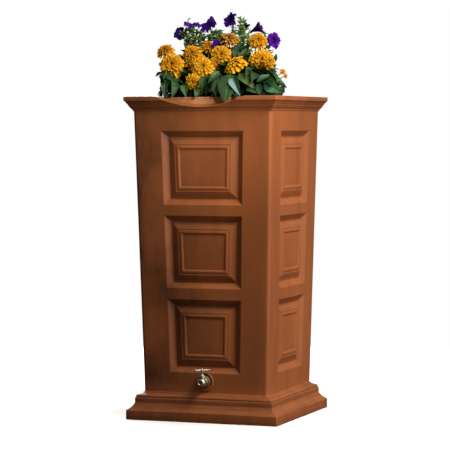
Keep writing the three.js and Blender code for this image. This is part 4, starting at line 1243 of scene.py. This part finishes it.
def planting():
    rng = random.Random(21)
    # zinnia heads: u, v, y, radius, facing (right, up, towards), options
    heads = [
        (164.8, 50.3, -150, 41, (-0.30, 0.72, 0.62), dict(warm=0.7, centre=0.16, flat=4)),
        (171.6, 65.0, -208, 53, (-0.10, 0.30, 0.94), dict(warm=0.25, centre=0.12, outer=17)),
        (192.0, 53.5, -165, 41, (-0.18, 0.30, 0.93), dict(warm=0.45, centre=0.14)),
        (208.5, 45.5, -70, 33, (0.05, 0.72, 0.68), dict(warm=1.0, centre=0.2, bright=0.9)),
        (221.0, 54.5, -150, 46, (0.06, 0.28, 0.95), dict(warm=0.35, centre=0.16)),
        (229.5, 38.3, -40, 42, (0.04, 0.84, 0.54), dict(warm=0.55, centre=0.34, flat=4, bright=1.05)),
        (258.0, 40.3, -80, 41, (0.06, 0.50, 0.86), dict(warm=0.6, centre=0.12)),
        (262.0, 60.0, -175, 51, (-0.04, 0.30, 0.95), dict(warm=0.25, centre=0.10, outer=17)),
        (269.0, 61.0, -212, 27, (0.18, 0.0, 0.98), dict(warm=0.2, centre=0.08, outer=12)),
        (203.0, 67.0, -212, 49, (0.06, 0.42, 0.90), dict(warm=0.2, centre=0.14)),
        (196.5, 63.0, -165, 44, (-0.1, 0.25, 0.96), dict(warm=0.35, centre=0.16)),
        (216.5, 63.0, -165, 31, (0.1, 0.05, 0.99), dict(warm=0.5, centre=0.2, bright=0.8)),
        (235.3, 63.0, -200, 52, (-0.26, 0.88, 0.42), dict(warm=0.0, centre=0.1, dome=1.0, flat=8, bright=1.15)),
        (193.0, 82.0, -240, 35, (-0.22, -0.15, 0.96), dict(warm=0.0, centre=0.2, bright=1.05)),
        # round the back and sides
        (250.0, 66.0, 96, 42, (0.1, 0.35, -0.9), dict(warm=0.4, centre=0.14)),
        (199.0, 70.0, 92, 44, (-0.2, 0.3, -0.9), dict(warm=0.3, centre=0.14)),
        (225.0, 58.0, 100, 40, (0.0, 0.4, -0.9), dict(warm=0.7, centre=0.16)),
        (272.0, 77.0, 40, 38, (0.95, 0.3, -0.1), dict(warm=0.35, centre=0.14)),
        (178.0, 80.0, 20, 40, (-0.95, 0.25, -0.2), dict(warm=0.5, centre=0.14)),
    ]
    for u, v, y, R, f, opt in heads:
        c, n = sight(u, v, y), facing(*f)
        if f[2] > 0:
            HEADS.append((u, v, R / 3.85 * 0.92, (c - EYE).dot(FWD)))
        name = zinnia(c, n, R, rng, **opt)
        stalk(c - n * (0.14 * R), n, rng, name, 2.0, 30)
    # the pale stalk seen under the bright head, and two small half-opened heads
    a, b = sight(230.5, 69, -214), sight(229.6, 84, -226)
    STEMS["marigold_plant_centre"].tube(bezier(b, b.lerp(a, 0.3), b.lerp(a, 0.7), a, 6), 3.4, 2.6, srgb("8fa876"))
    for u, v, y, R, f, opt in ((283.0, 71.6, -120, 15, (0.4, 0.5, 0.8), dict(warm=0, centre=0.1, outer=10)), (286.0, 76.0, -120, 11, (0.7, 0.0, 0.7), dict(warm=0.1, centre=0.1, outer=9)),
                               (241.0, 60.5, -150, 17, (0.2, 0.6, 0.7), dict(warm=0.6, centre=0.3, outer=10, bright=0.55))):
        c, n = sight(u, v, y), facing(*f)
        name = zinnia(c, n, R, rng, **opt)
        stalk(c - n * (0.14 * R), n, rng, name, 1.4, 16)

    # petunias
    dark, deep, bright = srgb("1d0a4e"), srgb("3c0880"), srgb("520a9e")
    trumpets = [
        # turned away, this trumpet is dark all over and its tube too: painted shade
        (179.5, 33.5, 10, 28, (-0.55, 0.02, -0.62), dict(tint=dark, back=srgb("1f0c52"), roll=0.3, ruffle=0.1, notch=0.3, tube=20, lobes=(1.1, 0.9, 1.15, 0.85, 1.0),
                                                        pale=srgb("2a1a4a"))),
        # its lighter back is painted light on the shaded underside
        (193.3, 24.6, 30, 38, (0.06, 0.92, 0.30), dict(tint=bright, roll=0.35, ruffle=0.16, tube=17, waist=1.8, back=srgb("7a48b4"), pale=srgb("84748c"), lobes=(1.0, 1.0, 0.9, 1.0, 1.1))),
        (207.8, 25.2, 40, 37, (-0.46, 0.60, 0.62), dict(tint=deep, roll=0.95, ruffle=0.2, notch=0.36, lobes=(1.15, 0.85, 0.95, 1.1, 0.8))),
        (229.6, 19.6, 70, 35, (-0.64, 0.36, 0.52), dict(tint=bright, roll=0.1, ruffle=0.14, notch=0.3, back=srgb("330a6a"), tube=24, waist=1.9, pale=srgb("7d7488"),
                                                        lobes=(1.05, 0.85, 1.15, 0.9, 1.0))),
        # its back and tube are painted dark: painted shade
        (260.6, 27.0, 60, 23, (0.88, 0.40, 0.26), dict(tint=deep, roll=0.5, ruffle=0.12, tube=52, back=srgb("2a0a58"), cone=0.8, waist=1.3, pale=srgb("1c0a34"))),
        (274.6, 40.2, 0, 32, (0.66, 0.05, 0.74), dict(tint=srgb("5f0ca8"), roll=0.6, ruffle=0.14, notch=0.24)),
        (219.2, 44.6, -66, 30, (0.05, 0.62, 0.76), dict(tint=srgb("36087a"), roll=0.2, ruffle=0.16)),
        (246.0, 60.0, 104, 32, (0.2, 0.4, -0.9), dict(tint=bright, roll=0.2)),
        (214.0, 54.0, 106, 31, (-0.1, 0.4, -0.9), dict(tint=deep, roll=0.5)),
        (188.0, 62.0, 100, 30, (-0.4, 0.4, -0.8), dict(tint=bright, roll=0.8)),
        (262.0, 78.0, 110, 30, (0.4, 0.1, -0.9), dict(tint=deep, roll=0.1)),
    ]
    for u, v, y, R, f, opt in trumpets:
        petunia(sight(u, v, y), facing(*f), R, rng, **opt)
    # a closed dark bud and a curled style
    c, n = sight(247.3, 24.5, 50), facing(0.25, 0.9, 0.2)
    petunia(c, n, 12, rng, tint=NIGHT, tube=20, ruffle=0.3, notch=0.5, back=NIGHT, cone=0.7, pale=NIGHT)
    p = [sight(u, v, 20) for u, v in ((188.6, 25.5), (188.2, 23), (187.8, 21), (188.3, 19.2), (189.6, 18.4), (190.4, 18.9))]
    STEMS[plant_at(p[0].x, p[0].y)].tube(p, 2.0, 2.3, srgb("5c6a5c"))

    # soft petunia shoots
    tops = [(186, 31, 20), (189.5, 29, 10), (193, 30.5, 0), (197, 32, 20), (201, 33.5, 10), (188, 37, -20), (194.5, 37, -10), (200, 38, -30), (204, 36, 30),
            (209, 37, 10), (212, 34, 20), (215.5, 32.5, 30), (219.5, 32, 30), (221.5, 35, 10), (216, 38, -10),
            (240.5, 18.5, 60), (243.5, 20, 50), (246, 23.5, 60), (241, 25, 50), (244, 28.5, 40), (240, 32, 50), (244, 36, 30), (248, 36, 20), (239, 40, 10),
            (234, 33, 40), (250, 42, 0), (264.5, 34, 20), (269, 38, 10), (233, 27, 74),
            (210, 48, 100), (230, 50, 104), (250, 52, 100), (190, 56, 100), (265, 64, 90), (272, 70, 20), (180, 64, 30), (222, 64, 110), (240, 70, 112)]
    for u, v, y in tops:
        t = sight(u, v, y)
        name = plant_at(t.x, t.y)
        root = crown(name, rng)
        root = root.lerp(Vector((t.x, t.y, 1196)), 0.55)
        small = v < 30
        # the shoots in one band of the view get a much paler green: painted light
        sprig(root, t, rng, size=(21 if small else 28) * rng.uniform(0.9, 1.15), dense=12 if small else 11, tint=srgb("bfe486") if 236 < u < 250 else srgb("86b05a"),
              width=0.66)

    # leaves that the view shows one by one
    g1, g2, g3, olive, blue, nightg = srgb("3d5c24"), srgb("2d5230"), srgb("48672b"), srgb("55702c"), srgb("7fa5a6"), srgb("0f2412")
    sight_leaf((230.5, 74.0, -228), (224.6, 102.4, -298), 19.5, srgb("2f5022"), srgb("263f1c"), roll=0.25, arch=0.05, fold=0.08, wave=0.012, n=13, m=9)
    # the pale blue-grey right half of this leaf is a painted sheen
    sight_leaf((232.5, 76.5, -222), (240.4, 96.0, -278), 10.5, srgb("1f3b24"), srgb("8aa9a6"), roll=0.15, arch=0.20, fold=0.25, wave=0.02, n=13, m=9)
    sight_leaf((239.0, 73.5, -205), (254.5, 88.5, -240), 10.5, olive, roll=-0.2, arch=0.12, fold=0.2)
    sight_leaf((246.5, 69.0, -205), (259.5, 75.0, -225), 5.2, srgb("7f9a5a"), srgb("3a5524"), roll=0.5, arch=0.25, fold=0.35)
    sight_leaf((267.5, 77.0, -190), (281.5, 79.5, -180), 8.0, srgb("4f8427"), roll=0.1, arch=0.2)
    # the blue-green right half of this leaf is partly a painted sheen
    sight_leaf((264.0, 82.0, -215), (281.5, 92.5, -215), 11.5, srgb("3d7440"), srgb("3f7a5c"), roll=0.2, arch=0.2, fold=0.25)
    # the pale blue-green right half of this leaf is a painted sheen
    sight_leaf((275.5, 80.0, -190), (287.0, 88.3, -170), 5.2, srgb("2f5a3a"), srgb("5b8f7c"), roll=0.3, arch=0.2)
    sight_leaf((256.5, 82.0, -225), (271.0, 75.0, -205), 6.0, srgb("4d7a5a"), srgb("2c5030"), roll=-0.5, arch=0.12)
    sight_leaf((282.5, 84.0, -195), (284.5, 93.0, -200), 5.0, srgb("16331c"), roll=0.3)
    # the pale blue left half of this leaf is a painted sheen
    sight_leaf((271.0, 68.0, -190), (275.0, 76.0, -200), 6.0, srgb("5a86a0"), srgb("2f5a40"), roll=0.6)
    sight_leaf((160.5, 71.5, -205), (175.5, 82.0, -240), 8.5, srgb("32562c"), g2, roll=-0.2, arch=0.12)
    sight_leaf((161.0, 72.0, -160), (155.6, 77.0, -170), 3.2, nightg, roll=0.4)
    sight_leaf((163.5, 79.5, -180), (160.6, 84.0, -190), 3.4, nightg, roll=0.4)
    sight_leaf((162.5, 90.5, -190), (157.2, 95.2, -215), 2.2, srgb("22352a"), roll=0.6, curl=0.2)
    sight_leaf((166.5, 79.0, -218), (165.0, 97.5, -262), 8.0, srgb("24452a"), srgb("335a30"), roll=0.3, arch=0.16)
    sight_leaf((174.0, 80.0, -222), (172.0, 97.5, -262), 8.5, srgb("1f3c22"), srgb("3c5f33"), roll=-0.4, arch=0.18)
    sight_leaf((206.0, 75.0, -228), (202.5, 93.0, -258), 7.5, srgb("2a4a22"), srgb("2a4a26"), roll=0.4, arch=0.22)
    sight_leaf((219.5, 71.5, -212), (208.0, 83.5, -240), 7.5, srgb("2c4f2c"), srgb("46683e"), roll=0.2, arch=0.2)
    sight_leaf((220.0, 80.0, -220), (209.5, 92.0, -258), 8.0, srgb("36592e"), srgb("253f22"), roll=-0.1, arch=0.2)
    sight_leaf((216.0, 84.0, -230), (216.5, 97.5, -262), 7.0, srgb("2c4a24"), roll=0.2, arch=0.15)
    sight_leaf((246.0, 89.0, -232), (257.5, 93.5, -262), 4.6, srgb("36602a"), roll=-0.3, arch=0.1)
    sight_leaf((258.0, 84.0, -222), (261.0, 97.0, -262), 7.0, srgb("1f3c1f"), roll=0.1, arch=0.1)
    sight_leaf((184.0, 84.0, -222), (186.5, 97.5, -262), 8.0, srgb("2f5428"), srgb("47683a"), roll=0.1, arch=0.2)
    sight_leaf((196.0, 88.0, -228), (195.5, 98.0, -262), 7.0, srgb("3a5f2e"), roll=-0.3, arch=0.2)
    sight_leaf((274.0, 62.0, -120), (276.3, 53.5, -110), 4.0, srgb("1f3f1f"), roll=0.2)
    sight_leaf((240.0, 62.5, -130), (232.5, 48.0, -110), 7.0, srgb("24421f"), srgb("31522b"), roll=0.3)
    sight_leaf((240.5, 61.5, -130), (247.0, 48.0, -110), 7.0, srgb("2a4a24"), srgb("1c371b"), roll=-0.2)
    sight_leaf((243.0, 66.0, -140), (238.5, 52.0, -130), 5.0, srgb("3a5c32"), roll=0.1)
    sight_leaf((186.5, 49.0, -100), (184.3, 42.0, -90), 3.4, srgb("1a3a1c"), roll=0.2)
    sight_leaf((176.0, 57.0, -150), (173.2, 53.2, -140), 2.6, srgb("1c3a1c"), roll=0.2)
    sight_leaf((181.0, 58.0, -150), (179.4, 54.0, -140), 2.6, srgb("14301a"), roll=0.2)

    # dark leaves low down, behind the ones that hang over the edge; their dark greens are painted shade
    for k in range(66):
        near = k % 2 == 0
        u = 164.5 + 1.78 * k + rng.uniform(-1, 1)
        y = rng.uniform(-170, -120) if near else rng.uniform(-60, -10)
        v = (rng.uniform(76, 86) if 168 < u < 274 else rng.uniform(83, 88)) if near else rng.uniform(85, 89)
        tip = min(max(u + rng.uniform(-6, 6), 161.5), 281.5)
        sight_leaf((u, v, y), (tip, v + rng.uniform(9, 13) if near else 99.0, y - rng.uniform(5, 30)), rng.uniform(6, 8.5) if not 168 < u < 276 else rng.uniform(7, 10),
                   shade(srgb(rng.choice(("1d3a1e", "24431f", "2c4c26"))), rng.uniform(0.7, 1.1)), roll=rng.uniform(-0.5, 0.5), arch=rng.uniform(0.05, 0.2),
                   fold=rng.uniform(0.15, 0.4))
    for a_, b_, w_ in (((203.5, 56.0, -40), (207.0, 45.5, -40), 7.0), ((206.5, 58.0, -30), (203.0, 47.0, -36), 6.5), ((243.0, 56.0, -60), (248.0, 44.0, -50), 7.0),
                       ((237.0, 56.0, -50), (240.5, 43.0, -40), 7.0), ((247.0, 70.0, -90), (244.0, 57.0, -80), 8.0)):
        sight_leaf(a_, b_, w_, srgb("21401f"), srgb("2c4d26"), roll=rng.uniform(-0.3, 0.3), arch=0.1)

    # the leafy mass: branches from each crown with paired leaves
    for name, x0, x1, y0, y1 in PLANTS:
        front = y1 == -62
        done, tries = 0, 0
        while done < (15 if front else 17) and tries < 140:
            tries += 1
            ex, ey = rng.uniform(max(x0, -245), min(x1, 245)), rng.uniform(max(y0, -238), min(y1, 112))
            ez = 1222 + rng.random() ** 0.8 * (140 if front else 228)
            end = Vector((ex, ey, ez))
            if not allowed(end):
                continue
            root = crown(name, rng)
            pts = bezier(root, root + Vector((0, 0, (ez - 1196) * 0.6)), end - Vector((0, 0, 14)), end, 10)
            STEMS[name].tube(pts, 2.4, 1.3, srgb("3c5c2c"))
            pairs = 5
            for k in range(pairs):
                t = 0.3 + 0.7 * k / (pairs - 1)
                q = t * 9
                p = pts[min(int(q), 8)].lerp(pts[min(int(q) + 1, 9)], q - int(q))
                for half in (0, math.pi):
                    a = k * 1.57 + half + rng.uniform(-0.5, 0.5) + done
                    for attempt in range(4):
                        L = (rng.uniform(52, 84) if front else rng.uniform(38, 66)) * (0.72 if k == pairs - 1 else 1)
                        lift = rng.uniform(-0.35, 0.45) if k < pairs - 1 else rng.uniform(0.2, 0.9)
                        d = Vector((math.cos(a), math.sin(a), lift)).normalized()
                        tip = p + d * L - Vector((0, 0, L * 0.12))
                        mid = (p + tip) / 2 + Vector((0, 0, 6))
                        if abs(tip.x) < 292 and -290 < tip.y < 122 and allowed(tip) and allowed(p) and allowed(mid) and not any(
                                hidden(q2) for q2 in (p.lerp(tip, 0.25), mid, p.lerp(tip, 0.75), tip)):
                            # leaves low in the mass are painted near black and higher ones lighter: painted shade
                            shade_by_height = min(max((p.z - 1210) / 150, 0), 1)
                            c = lerp(srgb("142c15"), srgb("315426"), shade_by_height * rng.uniform(0.5, 1.1))
                            c = lerp(c, srgb("52762f"), rng.uniform(0, 0.45) * shade_by_height)
                            leaf(LEAVES[name], p, tip, L * rng.uniform(0.46, 0.6), Vector((-math.sin(a), math.cos(a), rng.uniform(-0.5, 0.5))), arch=rng.uniform(0.08, 0.2),
                                 fold=rng.uniform(0.2, 0.45), wave=0.05, tint=shade(c, rng.uniform(0.8, 1.15)), n=8, m=5, curl=rng.uniform(0.05, 0.25), seed=rng.uniform(0, 6))
                            break
                        a += 0.9
            done += 1

    for name, *_ in PLANTS:
        kind = "marigold" if name.startswith("marigold") else "petunia"
        for part, cloud, mat in (("leaves", LEAVES[name], M["leaf"]), ("stems", STEMS[name], M["stem"]), ("blooms", BLOOMS[name], M["zinnia" if kind == "marigold" else "petunia"])):
            if not cloud.f:
                continue
            ob = put(f"{name}_{part}", cloud.v, cloud.f, sharp=60, tint=cloud.c, blade=cloud.b)
            piece(ob, "planter", name, slot=kind, mat=mat)


planting()

# ------------------------------------------------------------------ stage and light
def area(name, at, look, size, power, colour=(1, 1, 1)):
    l = bpy.data.lights.new(name, "AREA")
    l.shape = "RECTANGLE"
    l.size, l.size_y = size
    l.energy = power
    l.color = colour
    o = bpy.data.objects.new(name, l)
    scene.collection.objects.link(o)
    o.location = at
    o.rotation_euler = (Vector(look) - Vector(at)).to_track_quat("-Z", "Y").to_euler()
    o.visible_camera = False
    return o


floor = bpy.data.meshes.new("floor")
FLOOR_R, FLOOR_N = 2.6, 128
floor.from_pydata([(FLOOR_R * math.cos(2 * math.pi * k / FLOOR_N), FLOOR_R * math.sin(2 * math.pi * k / FLOOR_N), -0.0005) for k in range(FLOOR_N)], [],
                  [tuple(range(FLOOR_N))])
floor_ob = bpy.data.objects.new("floor", floor)
scene.collection.objects.link(floor_ob)
g = Graph("pale_floor")
floor.materials.append(g.done(Base_Color=g.mix(g.span(g.noise(1.5, 4), 0, 1), (0.80, 0.80, 0.80), (0.83, 0.83, 0.825)), Roughness=0.9, Specular_IOR_Level=0.1))
floor_ob.visible_diffuse = False
floor_ob.visible_glossy = False

# a white studio to look at; the light from it is strongest from above and the right
world = bpy.data.worlds.new("studio")
scene.world = world
world.use_nodes = True
wt = world.node_tree
back = wt.nodes["Background"]
gen = wt.nodes.new("ShaderNodeTexCoord")
sep = wt.nodes.new("ShaderNodeSeparateXYZ")
wt.links.new(gen.outputs["Generated"], sep.inputs[0])


def ease(socket, a, b, lo, hi):
    n = wt.nodes.new("ShaderNodeMapRange")
    n.interpolation_type = "SMOOTHSTEP"
    wt.links.new(socket, n.inputs["Value"])
    for k, x in (("From Min", a), ("From Max", b), ("To Min", lo), ("To Max", hi)):
        n.inputs[k].default_value = x
    return n.outputs["Result"]


def combine(op, a, b):
    n = wt.nodes.new("ShaderNodeMath")
    n.operation = op
    wt.links.new(a, n.inputs[0])
    if isinstance(b, bpy.types.NodeSocket):
        wt.links.new(b, n.inputs[1])
    else:
        n.inputs[1].default_value = b
    return n.outputs[0]


glow = combine("ADD", combine("MULTIPLY", ease(sep.outputs["X"], -0.6, 0.9, 0.03, 0.38), ease(sep.outputs["Z"], -0.25, 0.5, 0.10, 1.0)), ease(sep.outputs["Z"], 0.3, 1.0, 0.02, 0.30))
rays = wt.nodes.new("ShaderNodeLightPath")
pick = wt.nodes.new("ShaderNodeMix")
wt.links.new(rays.outputs["Is Camera Ray"], pick.inputs[0])
wt.links.new(glow, pick.inputs[2])
pick.inputs[3].default_value = 1.0
wt.links.new(pick.outputs[0], back.inputs["Strength"])
tinge = wt.nodes.new("ShaderNodeMix")
tinge.data_type = "RGBA"
wt.links.new(rays.outputs["Is Camera Ray"], tinge.inputs[0])
tinge.inputs[6].default_value = (1.0, 0.96, 0.91, 1)
tinge.inputs[7].default_value = (1, 1, 1, 1)
wt.links.new(tinge.outputs[2], back.inputs["Color"])

scene.view_settings.view_transform = "Standard"
scene.view_settings.look = "None"

area("key_right", (1.98, -1.08, 2.88), (0, 0, 0.9), (1.0, 1.0), 82, (1.0, 0.965, 0.92))
area("right_soft", (1.75, -0.5, 0.42), (0.2, -0.1, 0.62), (0.3, 0.7), 7.5, (1.0, 0.965, 0.92))
area("rear_soft", (-2.1, 3.0, 2.4), (0, 0, 0.8), (1.6, 1.6), 170)
pool = bpy.data.objects.new("front_pool", bpy.data.lights.new("front_pool", "SPOT"))
pool.data.energy = 60
pool.data.spot_size = math.radians(27)
pool.data.spot_blend = 1.0
pool.data.shadow_soft_size = 0.15
pool.location = (1.1, -1.4, 1.7)
pool.rotation_euler = (Vector((0.0, -0.25, 1.07)) - pool.location).to_track_quat("-Z", "Y").to_euler()
scene.collection.objects.link(pool)
wash = bpy.data.objects.new("floor_wash", bpy.data.lights.new("floor_wash", "SUN"))
wash.data.energy = 2.1
wash.data.angle = math.radians(30)
wash.rotation_euler = (0, math.radians(4), 0)
scene.collection.objects.link(wash)
only = bpy.data.collections.new("lit_by_wash")
only.objects.link(floor_ob)
wash.light_linking.receiver_collection = only
